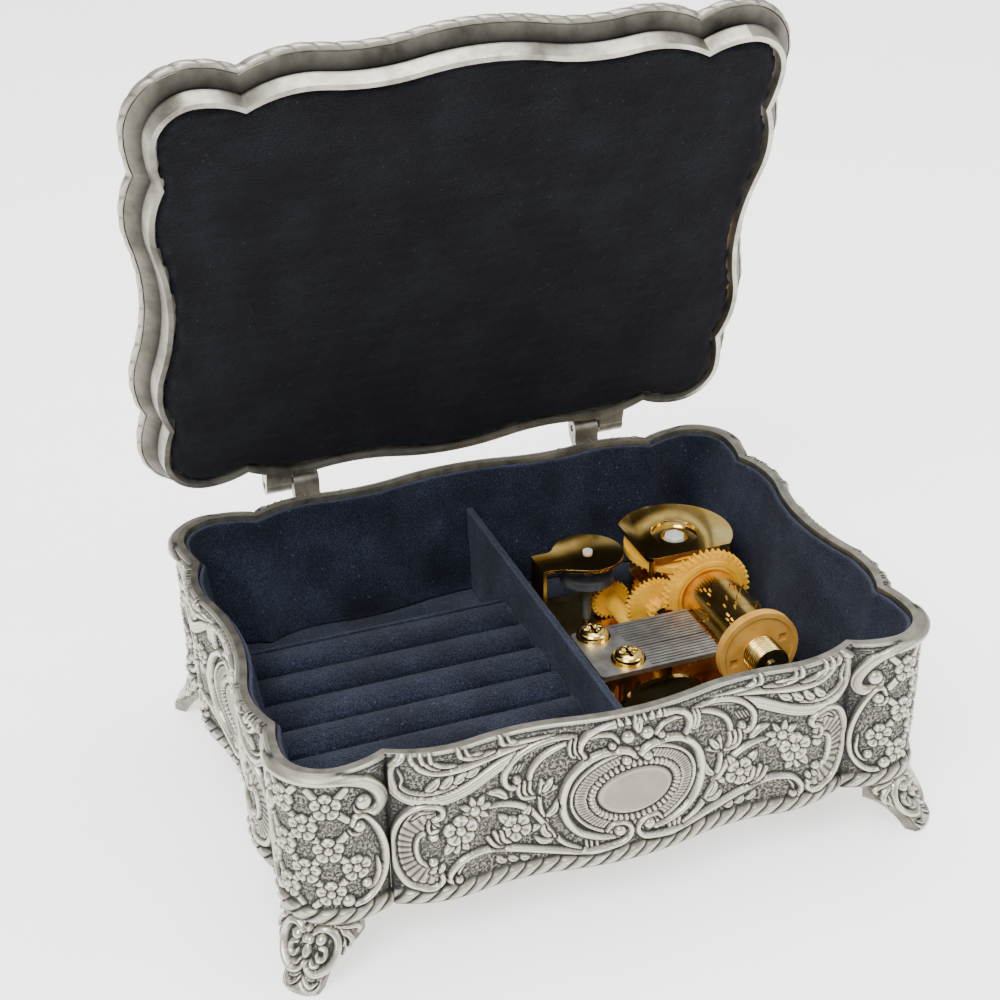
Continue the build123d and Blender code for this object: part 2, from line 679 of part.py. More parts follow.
with BuildPart() as lid_shell:
    for height, grow, share in lid_sections:
        with BuildSketch(LID_PLANE.offset(height)):
            add(serpentine(grow, share))
    loft(ruled=True)
    for side in (-1, 1):
        inner_x = side * HINGE_MIDDLE_X - (KNUCKLE_WIDTH if side < 0 else 0) + side * KNUCKLE_GAP / 2
        lug_plane = Plane(
            origin=LID_PLANE.from_local_coords((inner_x, 0, 0)), x_dir=LID_PLANE.y_dir, z_dir=(1, 0, 0)
        )
        with BuildSketch(lug_plane):
            with BuildLine():
                Polyline(
                    (LONG_CUSP[1], lid_drop - LUG_ROOT),
                    (HINGE_Y, lid_drop - LUG_TAPER),
                    (HINGE_Y + KNUCKLE_RADIUS, lid_drop),
                    (HINGE_Y, lid_drop + KNUCKLE_RADIUS),
                    (LONG_CUSP[1], lid_drop + KNUCKLE_RADIUS),
                    close=True,
                )
            make_face()
            with Locations((HINGE_Y, lid_drop)):
                Circle(KNUCKLE_RADIUS)
        extrude(amount=KNUCKLE_WIDTH)
        with BuildSketch(lug_plane):
            with Locations((HINGE_Y, lid_drop)):
                Circle(HINGE_PIN_RADIUS + RUN_GAP)
        extrude(amount=KNUCKLE_WIDTH, mode=Mode.SUBTRACT)
    with BuildSketch(LID_PLANE):
        add(serpentine(0))
    extrude(amount=PANEL_RECESS + PANEL_THICKNESS + SEAT_GAP, mode=Mode.SUBTRACT)
    for height, grow, share in hollow_sections:
        with BuildSketch(LID_PLANE.offset(height)):
            add(serpentine(grow, share))
    loft(ruled=True, mode=Mode.SUBTRACT)
write(lid_shell, "lid_shell")

# Padded velvet panel set into the lid
with BuildPart() as lid_lining:
    for height, grow in (
        (0, -PANEL_ROUND),
        (PANEL_ROUND_HEIGHT, -SEAT_GAP),
        (PANEL_THICKNESS, -SEAT_GAP),
    ):
        with BuildSketch(LID_PLANE.offset(PANEL_RECESS + height)):
            add(serpentine(grow))
    loft(ruled=True)
write(lid_lining, "lid_lining")

# Hinge pins
pin_length = 2 * KNUCKLE_WIDTH + KNUCKLE_GAP - 2 * PIN_END_SETBACK
for name, side in (("left", -1), ("right", 1)):
    with BuildPart() as hinge_pin:
        with BuildSketch(Plane.YZ.offset(side * HINGE_MIDDLE_X - pin_length / 2)):
            with Locations((HINGE_Y, HINGE_Z)):
                Circle(HINGE_PIN_RADIUS)
        extrude(amount=pin_length)
    write(hinge_pin, f"hinge_pin_{name}")

# Axes of the movement, seen from the front
spindle = (SPINDLE_X, SPINDLE_Z)
first_distance = TRAIN_MODULE * (CYLINDER_TEETH + FIRST_PINION_TEETH) / 2
intermediate = polar(first_distance, WHEEL_BEARING, spindle)
second_distance = FINE_MODULE * (WHEEL_TEETH + SECOND_PINION_TEETH) / 2
worm_axis = polar(second_distance, WORM_BEARING, intermediate)
worm_wheel_tip = FINE_MODULE * (WORM_WHEEL_TEETH / 2 + ADDENDUM)
governor_x = worm_axis[0] - worm_wheel_tip - WORM_GAP - WORM_RADIUS
governor_at = (governor_x, WORM_WHEEL_Y)
comb_tip_x = SPINDLE_X - CYLINDER_RADIUS - PIN_HEIGHT - TIP_GAP
arbor_at = (SPINDLE_X, BARREL_Y)
disc_front_y = CYLINDER_FRONT_Y - DISC_THICKNESS

# Cast bedplate with its bearing posts
with BuildPart() as bedplate:
    with BuildSketch(Plane.XY.offset(FLOOR_TOP)) as bed_outline:
        with BuildLine():
            Polyline(
                (BED_LEFT_X, BED_FRONT_Y),
                (BED_RIGHT_X - BED_CORNER, BED_FRONT_Y),
                (BED_RIGHT_X, BED_FRONT_Y + BED_CORNER),
                (BED_RIGHT_X, BARREL_Y),
                (SPINDLE_X + BED_CORNER, BED_BACK_Y),
                (BED_LEFT_X + BED_NOTCH, BED_BACK_Y),
                (BED_LEFT_X, BED_BACK_Y - BED_NOTCH),
                close=True,
            )
        make_face()
        fillet(bed_outline.vertices(), BED_ROUND)
    extrude(amount=BEDPLATE)
    with BuildSketch(front_plane(FRONT_POST_Y)):
        with Locations((SPINDLE_X, BED_TOP)):
            Rectangle(2 * FRONT_POST_HALF, SPINDLE_Z - BED_TOP, align=(Align.CENTER, Align.MIN))
        with Locations(spindle):
            Circle(FRONT_POST_HALF)
    extrude(amount=FRONT_POST_THICKNESS)
    with BuildSketch(front_plane(FRONT_WALL_Y)):
        with BuildLine():
            wave = Spline(
                (FRONT_WALL_LEFT_X, BED_TOP + FRONT_WALL_START),
                *[(FRONT_WALL_LEFT_X + along, BED_TOP + up) for along, up in FRONT_WALL_WAVE],
                (FRONT_WALL_RIGHT_X, BED_TOP + FRONT_WALL_END),
            )
            Polyline(
                wave @ 1,
                (FRONT_WALL_RIGHT_X, BED_TOP),
                (FRONT_WALL_LEFT_X, BED_TOP),
                wave @ 0,
            )
        make_face()
    extrude(amount=FRONT_WALL_THICKNESS)
    with BuildSketch(front_plane(REAR_POST_Y)):
        with Locations((SPINDLE_X, BED_TOP)):
            Rectangle(2 * REAR_POST_HALF, SPINDLE_Z - BED_TOP, align=(Align.CENTER, Align.MIN))
        with Locations(spindle):
            Circle(REAR_POST_HALF)
    extrude(amount=POST_THICKNESS)
    with BuildSketch(front_plane(FRONT_PLATE_Y)):
        with Locations(intermediate):
            Circle(BOSS_RADIUS)
        with Locations(worm_axis):
            Circle(BOSS_RADIUS)
        make_hull()
        with Locations(((intermediate[0] + worm_axis[0]) / 2, BED_TOP)):
            Rectangle(FRONT_PLATE_FOOT, worm_axis[1] - BED_TOP, align=(Align.CENTER, Align.MIN))
    extrude(amount=PLATE_THICKNESS)
    with BuildSketch(front_plane(REAR_PLATE_Y)):
        with BuildLine():
            Polyline(
                (intermediate[0] - REAR_PLATE_FOOT, BED_TOP),
                (intermediate[0] + REAR_PLATE_RIGHT, BED_TOP),
                (intermediate[0] + REAR_PLATE_RIGHT, BED_TOP + REAR_PLATE_SHOULDER),
                (intermediate[0] + REAR_PLATE_CREST, intermediate[1] + BOSS_RADIUS),
                (intermediate[0] - REAR_PLATE_LEFT, intermediate[1] + BOSS_RADIUS),
                (intermediate[0] - REAR_PLATE_LEFT, intermediate[1] - BOSS_RADIUS),
                (intermediate[0] - REAR_PLATE_FOOT, BED_TOP + REAR_PLATE_SHOULDER),
                close=True,
            )
        make_face()
    extrude(amount=PLATE_THICKNESS)
    worm_post_y = WORM_WHEEL_Y + WHEEL_THICKNESS / 2 + WHEEL_GAP + PLATE_THICKNESS
    with BuildSketch(front_plane(worm_post_y)):
        with Locations((worm_axis[0], BED_TOP)):
            Rectangle(2 * WORM_POST_HALF, worm_axis[1] - BED_TOP, align=(Align.CENTER, Align.MIN))
        with Locations(worm_axis):
            Circle(WORM_POST_HALF)
    extrude(amount=PLATE_THICKNESS)
    with BuildSketch(front_plane(worm_post_y)):
        with Locations(intermediate, worm_axis):
            Circle(AXLE_RADIUS + RUN_GAP)
    extrude(amount=worm_post_y - FRONT_PLATE_Y + 2 * PLATE_THICKNESS, mode=Mode.SUBTRACT)
    with BuildSketch(front_plane(REAR_POST_Y)):
        with Locations(spindle):
            Circle(SPINDLE_RADIUS + RUN_GAP)
    extrude(amount=REAR_POST_Y - FRONT_POST_Y + FRONT_POST_THICKNESS, mode=Mode.SUBTRACT)
    with BuildSketch(Plane.XY.offset(FLOOR_TOP)):
        with Locations(arbor_at):
            Circle(ARBOR_RADIUS + RUN_GAP)
        with Locations(governor_at):
            Circle(GOVERNOR_SHAFT + RUN_GAP)
        with Locations((worm_axis[0], WORM_WHEEL_Y)):
            Rectangle(2 * worm_wheel_tip * WORM_SLOT_SHARE, WHEEL_THICKNESS + 2 * WHEEL_GAP)
        with Locations(*MOVEMENT_SCREWS):
            Circle(MOVEMENT_SCREW_RADIUS + PRESS_GAP)
        with Locations(*COMB_SCREWS):
            Circle(SCREW_SHANK * SCREW_PILOT_SHARE)
    extrude(amount=BEDPLATE, mode=Mode.SUBTRACT)
write(bedplate, "movement_bedplate")

# Screws that hold the movement to the bottom plate
with BuildPart() as movement_screws:
    with BuildSketch(Plane.XY.offset(LEDGE_TOP)):
        with Locations(*MOVEMENT_SCREWS):
            Circle(MOVEMENT_HEAD_RADIUS)
    extrude(amount=-MOVEMENT_HEAD)
    with BuildSketch(Plane.XY.offset(LEDGE_TOP)):
        with Locations(*MOVEMENT_SCREWS):
            Circle(MOVEMENT_SCREW_RADIUS)
    extrude(amount=BED_TOP - LEDGE_TOP)
write(movement_screws, "movement_screws")

# Comb base: a cast shelf on a left web and two screw pillars
shelf_top = COMB_TOP_Z - COMB_THICKNESS
comb_web_length = COMB_BACK_Y - COMB_FRONT_Y - 2 * COMB_WEB_SETBACK
comb_web_x = COMB_LEFT_X + COMB_BASE_SETBACK + COMB_WEB_SETBACK
with BuildPart() as comb_base:
    with BuildSketch(Plane.XY.offset(shelf_top)):
        with BuildLine():
            Polyline(
                (COMB_LEFT_X + COMB_BASE_SETBACK, COMB_BACK_Y),
                (ROOT_BACK_X, COMB_BACK_Y),
                (ROOT_FRONT_X, COMB_FRONT_Y),
                (COMB_LEFT_X + COMB_BASE_SETBACK, COMB_FRONT_Y),
                close=True,
            )
        make_face()
    extrude(amount=-COMB_SHELF)
    with BuildSketch(Plane.XY.offset(BED_TOP)):
        with Locations((comb_web_x, (COMB_FRONT_Y + COMB_BACK_Y) / 2)):
            Rectangle(COMB_WEB, comb_web_length, align=(Align.MIN, Align.CENTER))
        with Locations(*COMB_SCREWS):
            Circle(2 * SCREW_SHANK)
        with Locations((ROOT_FRONT_X - COMB_POST_SETBACK, COMB_FRONT_Y + COMB_BASE_SETBACK)):
            Rectangle(COMB_POST_WIDTH, COMB_POST_DEPTH, align=(Align.MAX, Align.MIN))
    extrude(amount=shelf_top - COMB_SHELF - BED_TOP)
    with BuildSketch(Plane.XY.offset(BED_TOP)):
        with Locations(*COMB_SCREWS):
            Circle(SCREW_SHANK + PRESS_GAP)
    extrude(amount=shelf_top - BED_TOP, mode=Mode.SUBTRACT)
write(comb_base, "comb_base")

# Steel comb: the teeth are parted by sawn slits, with a wider one near the middle
note_pitch = (COMB_BACK_Y - COMB_FRONT_Y) / NOTES
with BuildPart() as comb:
    with BuildSketch(Plane.XY.offset(shelf_top)) as comb_outline:
        with BuildLine():
            Polyline(
                (COMB_LEFT_X, COMB_BACK_Y),
                (comb_tip_x, COMB_BACK_Y),
                (comb_tip_x, COMB_FRONT_Y),
                (COMB_LEFT_X, COMB_FRONT_Y),
                close=True,
            )
        make_face()
        fillet(comb_outline.vertices().group_by(Axis.X)[0], COMB_ROUND)
        for note in range(1, NOTES):
            slit_y = COMB_FRONT_Y + note * note_pitch
            along = (slit_y - COMB_FRONT_Y) / (COMB_BACK_Y - COMB_FRONT_Y)
            root_x = ROOT_FRONT_X + along * (ROOT_BACK_X - ROOT_FRONT_X)
            width = COMB_SPLIT if note == SPLIT_NOTE else COMB_SLIT
            with Locations((comb_tip_x, slit_y)):
                Rectangle(comb_tip_x - root_x, width, align=(Align.MAX, Align.CENTER), mode=Mode.SUBTRACT)
        with Locations(*COMB_SCREWS):
            Circle(SCREW_SHANK + PRESS_GAP, mode=Mode.SUBTRACT)
    extrude(amount=COMB_THICKNESS)
write(comb, "comb")

with BuildPart() as comb_screws:
    with BuildSketch(Plane.XY.offset(BED_TOP + SCREW_TIP)):
        with Locations(*COMB_SCREWS):
            Circle(SCREW_SHANK)
    extrude(amount=COMB_TOP_Z - BED_TOP - SCREW_TIP)
    with BuildSketch(Plane.XY.offset(COMB_TOP_Z)):
        with Locations(*COMB_SCREWS):
            Circle(SCREW_FLANGE)
    extrude(amount=SCREW_RIM)
    with BuildSketch(Plane.XY.offset(COMB_TOP_Z + SCREW_RIM)):
        with Locations(*COMB_SCREWS):
            Circle(SCREW_DOME)
    extrude(amount=SCREW_HEIGHT - SCREW_RIM)
    fillet(comb_screws.faces().group_by(Axis.Z)[-1].edges(), SCREW_ROUND_SHARE * (SCREW_HEIGHT - SCREW_RIM))
write(comb_screws, "comb_screws")

# Pinned cylinder
pin_places = []
for note in range(NOTES):
    pin_y = COMB_FRONT_Y + (note + 0.5) * note_pitch
    for count in range(PINS_PER_NOTE):
        angle = NOTE_TURN * note + 360 / PINS_PER_NOTE * (count + PIN_STAGGER * (note * count % 3))
        x, z = polar(CYLINDER_RADIUS, angle, spindle)
        pin_places.append(Location((x, pin_y, z), (0, -angle, 0)))
with BuildPart() as cylinder:
    with BuildSketch(front_plane(CYLINDER_BACK_Y)):
        with Locations(spindle):
            Circle(CYLINDER_RADIUS)
            Circle(CYLINDER_RADIUS - CYLINDER_TUBE, mode=Mode.SUBTRACT)
    extrude(amount=CYLINDER_BACK_Y - CYLINDER_FRONT_Y)
    with Locations(*pin_places):
        Box(2 * PIN_HEIGHT, PIN_SIZE, PIN_SIZE)
write(cylinder, "cylinder")

with BuildPart() as cylinder_gear:
    with BuildSketch(front_plane(GEAR_BACK_Y)):
        add(gear_face(CYLINDER_TEETH, TRAIN_MODULE, WHEEL_BEARING, spindle))
    extrude(amount=GEAR_THICKNESS)
    with BuildSketch(front_plane(GEAR_FRONT_Y)):
        with Locations(spindle):
            Circle(CYLINDER_RADIUS + GEAR_RIM_OUTER)
            Circle(CYLINDER_RADIUS + GEAR_RIM_INNER, mode=Mode.SUBTRACT)
            Circle(CYLINDER_RADIUS - PRESS_GAP)
    extrude(amount=GEAR_SETBACK)
    with BuildSketch(front_plane(GEAR_BACK_Y)):
        with Locations(spindle):
            Circle(SPINDLE_RADIUS + PRESS_GAP)
    extrude(amount=GEAR_BACK_Y - CYLINDER_BACK_Y, mode=Mode.SUBTRACT)
write(cylinder_gear, "cylinder_gear")

with BuildPart() as end_disc:
    with BuildSketch(front_plane(CYLINDER_FRONT_Y)):
        with Locations(spindle):
            Circle(DISC_RADIUS)
            Circle(SPINDLE_RADIUS + PRESS_GAP, mode=Mode.SUBTRACT)
    extrude(amount=DISC_THICKNESS)
    with BuildSketch(front_plane(disc_front_y)):
        with Locations(spindle):
            Circle(DISC_RADIUS - DISC_RIM)
            Circle(BUSHING_RADIUS + DISC_EYE, mode=Mode.SUBTRACT)
    extrude(amount=-DISC_RECESS, mode=Mode.SUBTRACT)
    with BuildSketch(front_plane(disc_front_y)):
        with Locations(*[polar(radius, angle, spindle) for radius, angle in DISC_HOLES]):
            Rectangle(DISC_HOLE, DISC_HOLE)
    extrude(amount=-DISC_HOLE_DEPTH, mode=Mode.SUBTRACT)
write(end_disc, "end_disc")

pinion_half = CROWN_FACE / 2 - END_PLAY
shaft_front_y = FRONT_POST_Y - FRONT_POST_THICKNESS - AXLE_END
with BuildPart() as cylinder_shaft:
    with BuildSketch(front_plane(REAR_POST_Y)):
        with Locations(spindle):
            Circle(SPINDLE_RADIUS)
    extrude(amount=REAR_POST_Y - shaft_front_y)
    with BuildSketch(front_plane(PINION_MIDDLE_Y + pinion_half)):
        with Locations(spindle):
            Circle(AXLE_RADIUS)
    extrude(amount=PINION_MIDDLE_Y + pinion_half - REAR_POST_Y)
write(cylinder_shaft, "cylinder_shaft")

with BuildPart() as bushing:
    with BuildSketch(front_plane(disc_front_y)):
        with Locations(spindle):
            Circle(BUSHING_RADIUS)
            Circle(SPINDLE_RADIUS + PRESS_GAP, mode=Mode.SUBTRACT)
    extrude(amount=disc_front_y - FRONT_POST_Y - END_PLAY)
write(bushing, "threaded_bushing")

with BuildPart() as cylinder_pinion:
    with BuildSketch(front_plane(PINION_MIDDLE_Y + pinion_half)):
        add(gear_face(FIRST_PINION_TEETH, CROWN_MODULE, 90, spindle))
        with Locations(spindle):
            Circle(AXLE_RADIUS + PRESS_GAP, mode=Mode.SUBTRACT)
    extrude(amount=2 * pinion_half)
write(cylinder_pinion, "cylinder_pinion")

# Intermediate wheel and pinion in one moulding, on a steel axle
first_phase = WHEEL_BEARING + 180 + 180 / FIRST_PINION_TEETH
with BuildPart() as intermediate_gear:
    with BuildSketch(front_plane(WHEEL_FRONT_Y)):
        add(gear_face(FIRST_PINION_TEETH, TRAIN_MODULE, first_phase, intermediate))
    extrude(amount=WHEEL_FRONT_Y - GEAR_FRONT_Y)
    with BuildSketch(front_plane(WHEEL_BACK_Y)):
        add(gear_face(WHEEL_TEETH, FINE_MODULE, WORM_BEARING, intermediate))
    extrude(amount=WHEEL_THICKNESS)
    with BuildSketch(front_plane(WHEEL_BACK_Y)):
        with Locations(intermediate):
            Circle(AXLE_RADIUS + PRESS_GAP)
    extrude(amount=WHEEL_BACK_Y - GEAR_FRONT_Y, mode=Mode.SUBTRACT)
write(intermediate_gear, "intermediate_gear")

with BuildPart() as intermediate_shaft:
    with BuildSketch(front_plane(REAR_PLATE_Y + AXLE_END)):
        with Locations(intermediate):
            Circle(AXLE_RADIUS)
    extrude(amount=REAR_PLATE_Y - FRONT_PLATE_Y + PLATE_THICKNESS + 2 * AXLE_END)
write(intermediate_shaft, "intermediate_shaft")

# Worm wheel with its long hub and pinion, on a steel axle
second_phase = WORM_BEARING + 180 + 180 / SECOND_PINION_TEETH
worm_wheel_back_y = WORM_WHEEL_Y + WHEEL_THICKNESS / 2
hub_front_y = WHEEL_BACK_Y + HUB_SETBACK
with BuildPart() as worm_wheel:
    with BuildSketch(front_plane(worm_wheel_back_y)):
        add(gear_face(WORM_WHEEL_TEETH, FINE_MODULE, 180, worm_axis))
    extrude(amount=WHEEL_THICKNESS)
    with BuildSketch(front_plane(WORM_WHEEL_Y)):
        with Locations(worm_axis):
            Circle(WORM_HUB_RADIUS)
    extrude(amount=WORM_WHEEL_Y - hub_front_y)
    with BuildSketch(front_plane(hub_front_y)):
        add(gear_face(SECOND_PINION_TEETH, FINE_MODULE, second_phase, worm_axis))
    extrude(amount=hub_front_y - WHEEL_FRONT_Y + END_PLAY)
    with BuildSketch(front_plane(worm_wheel_back_y)):
        with Locations(worm_axis):
            Circle(AXLE_RADIUS + PRESS_GAP)
    extrude(amount=worm_wheel_back_y - WHEEL_FRONT_Y + END_PLAY, mode=Mode.SUBTRACT)
write(worm_wheel, "worm_wheel")

with BuildPart() as worm_wheel_shaft:
    with BuildSketch(front_plane(worm_post_y + AXLE_END)):
        with Locations(worm_axis):
            Circle(AXLE_RADIUS)
    extrude(amount=worm_post_y - FRONT_PLATE_Y + PLATE_THICKNESS + 2 * AXLE_END)
write(worm_wheel_shaft, "worm_wheel_shaft")

# Governor: worm, shaft and fan cup in one piece
plate_bottom = GOVERNOR_TOP - GOVERNOR_PLATE
with BuildPart() as governor:
    with BuildSketch(Plane(origin=(*governor_at, 0), x_dir=(1, 0, 0), z_dir=(0, -1, 0))):
        with BuildLine():
            Polyline(
                (0, FLOOR_TOP + SHAFT_PLAY),
                (GOVERNOR_SHAFT, FLOOR_TOP + SHAFT_PLAY),
                (GOVERNOR_SHAFT, BED_TOP + WORM_START),
                (WORM_RADIUS, BED_TOP + WORM_START + WORM_STEP),
                (WORM_RADIUS, FAN_Z - FAN_NECK),
                (WORM_RADIUS + FAN_FLARE, FAN_Z),
                (FAN_RADIUS - FAN_WALL, FAN_Z + FAN_HEIGHT - FAN_WALL - FAN_SLOPE),
                (FAN_RADIUS - FAN_WALL, FAN_Z),
                (FAN_RADIUS, FAN_Z),
                (FAN_RADIUS, FAN_Z + FAN_HEIGHT),
                (FAN_RADIUS - FAN_LIP, FAN_Z + FAN_HEIGHT),
                (WORM_RADIUS + FAN_SLOPE, FAN_Z + FAN_LIP),
                (WORM_RADIUS, plate_bottom - WORM_START - END_PLAY),
                (GOVERNOR_SHAFT, plate_bottom - WORM_START),
                (GOVERNOR_SHAFT, GOVERNOR_TOP - END_PLAY),
                (0, GOVERNOR_TOP - END_PLAY),
                close=True,
            )
        make_face()
    revolve(axis=Axis((*governor_at, 0), (0, 0, 1)))
write(governor, "governor")

# Governor bracket: round top plate with a curved neck, a leg and a foot
with BuildPart() as bracket:
    with BuildSketch(Plane.XY.offset(GOVERNOR_TOP)):
        with Locations(governor_at):
            Circle(GOVERNOR_RADIUS)
        with BuildLine():
            Line((GOVERNOR_LEFT_X, GOVERNOR_FLANGE[0]), (GOVERNOR_LEFT_X, GOVERNOR_FLANGE[1]))
            back = Line((GOVERNOR_LEFT_X, GOVERNOR_FLANGE[1]), (GOVERNOR_NECK_X, GOVERNOR_FLANGE[1]))
            Spline(
                back @ 1,
                polar(GOVERNOR_RADIUS, GOVERNOR_NECK_ANGLE, governor_at),
                tangents=[(1, 0.1), (1, 0.9)],
            )
            Line(
                polar(GOVERNOR_RADIUS, GOVERNOR_NECK_ANGLE, governor_at),
                polar(GOVERNOR_RADIUS, GOVERNOR_HEEL_ANGLE, governor_at),
            )
            Spline(
                (GOVERNOR_LEFT_X, GOVERNOR_FLANGE[0]),
                polar(GOVERNOR_RADIUS, GOVERNOR_HEEL_ANGLE, governor_at),
                tangents=[(1, 0.1), (0.87, -0.5)],
            )
        make_face()
        with Locations(governor_at):
            Circle(GOVERNOR_SHAFT + RUN_GAP, mode=Mode.SUBTRACT)
    extrude(amount=-GOVERNOR_PLATE)
    flange_middle = (GOVERNOR_FLANGE[0] + GOVERNOR_FLANGE[1]) / 2
    flange_width = GOVERNOR_FLANGE[1] - GOVERNOR_FLANGE[0]
    with BuildSketch(Plane.XY.offset(BED_TOP)):
        with Locations((GOVERNOR_LEFT_X, flange_middle)):
            Rectangle(GOVERNOR_PLATE, flange_width, align=(Align.MIN, Align.CENTER))
    extrude(amount=GOVERNOR_TOP - BED_TOP)
    with BuildSketch(Plane.XY.offset(BED_TOP)):
        with Locations((GOVERNOR_LEFT_X, flange_middle)):
            Rectangle(GOVERNOR_FOOT, flange_width, align=(Align.MIN, Align.CENTER))
    extrude(amount=GOVERNOR_PLATE)
write(bracket, "governor_bracket")

with BuildPart() as bracket_screw:
    with BuildSketch(Plane.XY.offset(BED_TOP + GOVERNOR_PLATE)):
        with Locations((GOVERNOR_LEFT_X + BRACKET_SCREW_SHARE * GOVERNOR_FOOT, flange_middle)):
            Circle(BRACKET_SCREW_RADIUS)
    extrude(amount=BRACKET_SCREW_HEIGHT)
write(bracket_screw, "bracket_screw")

with BuildPart() as pivot_cap:
    with BuildSketch(Plane.XY.offset(GOVERNOR_TOP)):
        with Locations(governor_at):
            Circle(PIVOT_CAP_RADIUS)
    extrude(amount=PIVOT_CAP)
write(pivot_cap, "pivot_cap")

# Spring barrel with its mainspring
barrel_top = BARREL_BOTTOM + BARREL_HEIGHT
with BuildPart() as barrel:
    with BuildSketch(Plane.XY.offset(BARREL_BOTTOM)):
        with Locations(arbor_at):
            Circle(BARREL_RADIUS)
    extrude(amount=BARREL_HEIGHT)
    with BuildSketch(Plane.XY.offset(BARREL_BOTTOM + BARREL_WALL)):
        with Locations(arbor_at):
            Circle(BARREL_RADIUS - BARREL_WALL)
            Circle(2 * ARBOR_RADIUS, mode=Mode.SUBTRACT)
    extrude(amount=BARREL_HEIGHT - 2 * BARREL_WALL, mode=Mode.SUBTRACT)
    with BuildSketch(Plane.XY.offset(barrel_top)):
        with Locations(arbor_at):
            Circle(2 * ARBOR_RADIUS)
    extrude(amount=CROWN_ROOT_Z - barrel_top)
    with BuildSketch(Plane.XY.offset(BARREL_BOTTOM)):
        with Locations(arbor_at):
            Circle(ARBOR_RADIUS + RUN_GAP)
    extrude(amount=CROWN_ROOT_Z - BARREL_BOTTOM, mode=Mode.SUBTRACT)
write(barrel, "spring_barrel")

with BuildPart() as mainspring:
    with BuildSketch(Plane.XY.offset(BARREL_BOTTOM + BARREL_WALL + SEAT_GAP)):
        with Locations(arbor_at):
            Circle(BARREL_RADIUS - BARREL_WALL - SEAT_GAP)
            Circle(BARREL_RADIUS - BARREL_WALL - SPRING_COIL, mode=Mode.SUBTRACT)
    extrude(amount=BARREL_HEIGHT - 2 * BARREL_WALL - 2 * SEAT_GAP)
write(mainspring, "mainspring")

# Crown gear: teeth point down at the cylinder's pinion
tooth_planes = []
for tooth in range(CROWN_TEETH):
    angle = 270 + (tooth + 0.5) * 360 / CROWN_TEETH
    start = polar(CROWN_PITCH_RADIUS + CROWN_FACE / 2, angle, arbor_at)
    outward = polar(1, angle)
    tooth_planes.append(
        Plane(origin=(*start, CROWN_PITCH_Z), x_dir=(-outward[1], outward[0], 0), z_dir=(*outward, 0))
    )
crown_pitch = pi * CROWN_MODULE
with BuildPart() as crown:
    with BuildSketch(Plane.XY.offset(CROWN_ROOT_Z)):
        with Locations(arbor_at):
            Circle(CROWN_RADIUS)
    extrude(amount=CROWN_DISC)
    with BuildSketch(*tooth_planes):
        with BuildLine():
            Polyline(
                (-ROOT_SHARE * crown_pitch, DEDENDUM * CROWN_MODULE + TOOTH_SINK),
                (-TIP_SHARE * crown_pitch, -ADDENDUM * CROWN_MODULE),
                (TIP_SHARE * crown_pitch, -ADDENDUM * CROWN_MODULE),
                (ROOT_SHARE * crown_pitch, DEDENDUM * CROWN_MODULE + TOOTH_SINK),
                close=True,
            )
        make_face()
    extrude(amount=-CROWN_FACE)
    with BuildSketch(Plane.XY.offset(CROWN_ROOT_Z)):
        with Locations(arbor_at):
            Circle(ARBOR_TIP_RADIUS + RUN_GAP)
    extrude(amount=CROWN_DISC, mode=Mode.SUBTRACT)
write(crown, "drive_gear")

with BuildPart() as nylon_hub:
    with BuildSketch(Plane.XY.offset(CROWN_TOP)):
        with Locations(arbor_at):
            RegularPolygon(HUB_RADIUS, 6)
    extrude(amount=HUB_HEIGHT)
    with BuildSketch(Plane.XY.offset(CROWN_TOP)):
        with Locations(arbor_at):
            Circle(ARBOR_TIP_RADIUS + RUN_GAP)
    extrude(amount=ARBOR_TIP + RUN_GAP, mode=Mode.SUBTRACT)
    chamfer(nylon_hub.faces().sort_by(Axis.Z)[-1].edges(), HUB_CHAMFER)
write(nylon_hub, "nylon_hub")

# Pressed spring cover with a sunk well, two flats and a lip, on three legs
well_top = COVER_TOP - COVER_THICKNESS
with BuildPart() as cover:
    with BuildSketch(Plane.XY.offset(COVER_TOP)):
        with Locations(arbor_at):
            Circle(COVER_RADIUS)
        with Locations((SPINDLE_X - COVER_FLAT_LEFT, BARREL_Y - COVER_FLAT_FRONT)):
            Rectangle(
                2 * COVER_RADIUS, 2 * COVER_RADIUS, align=(Align.MIN, Align.MIN), mode=Mode.INTERSECT
            )
    extrude(amount=-COVER_THICKNESS)
    with BuildSketch(Plane.XY.offset(COVER_TOP)):
        with Locations(arbor_at):
            Circle(WELL_RADIUS + WELL_FLOOR)
    extrude(amount=-WELL_DEPTH + WELL_FLOOR)
    with BuildSketch(Plane.XY.offset(COVER_TOP)):
        with Locations(arbor_at):
            Circle(WELL_RADIUS)
    extrude(amount=-WELL_DEPTH + 2 * WELL_FLOOR, mode=Mode.SUBTRACT, taper=WELL_TAPER)
    with BuildSketch(Plane.XY.offset(COVER_TOP)):
        with Locations(arbor_at):
            Circle(WELL_BORE)
    extrude(amount=-WELL_DEPTH, mode=Mode.SUBTRACT)
    front_half = (COVER_RADIUS**2 - COVER_FLAT_FRONT**2) ** 0.5
    with BuildSketch(Plane.XY.offset(COVER_TOP)):
        with Locations((SPINDLE_X, BARREL_Y - COVER_FLAT_FRONT)):
            Rectangle(2 * (front_half - COVER_LIP_SETBACK), COVER_THICKNESS, align=(Align.CENTER, Align.MIN))
    extrude(amount=-COVER_LIP)
    for angle in COVER_LEGS:
        with BuildSketch(Plane.XY.offset(COVER_TOP - COVER_THICKNESS / 2)):
            with Locations(polar(COVER_LEG_CIRCLE, angle, arbor_at)):
                Circle(COVER_LEG_RADIUS)
        extrude(amount=BED_TOP - COVER_TOP + COVER_THICKNESS / 2)
write(cover, "spring_cover")

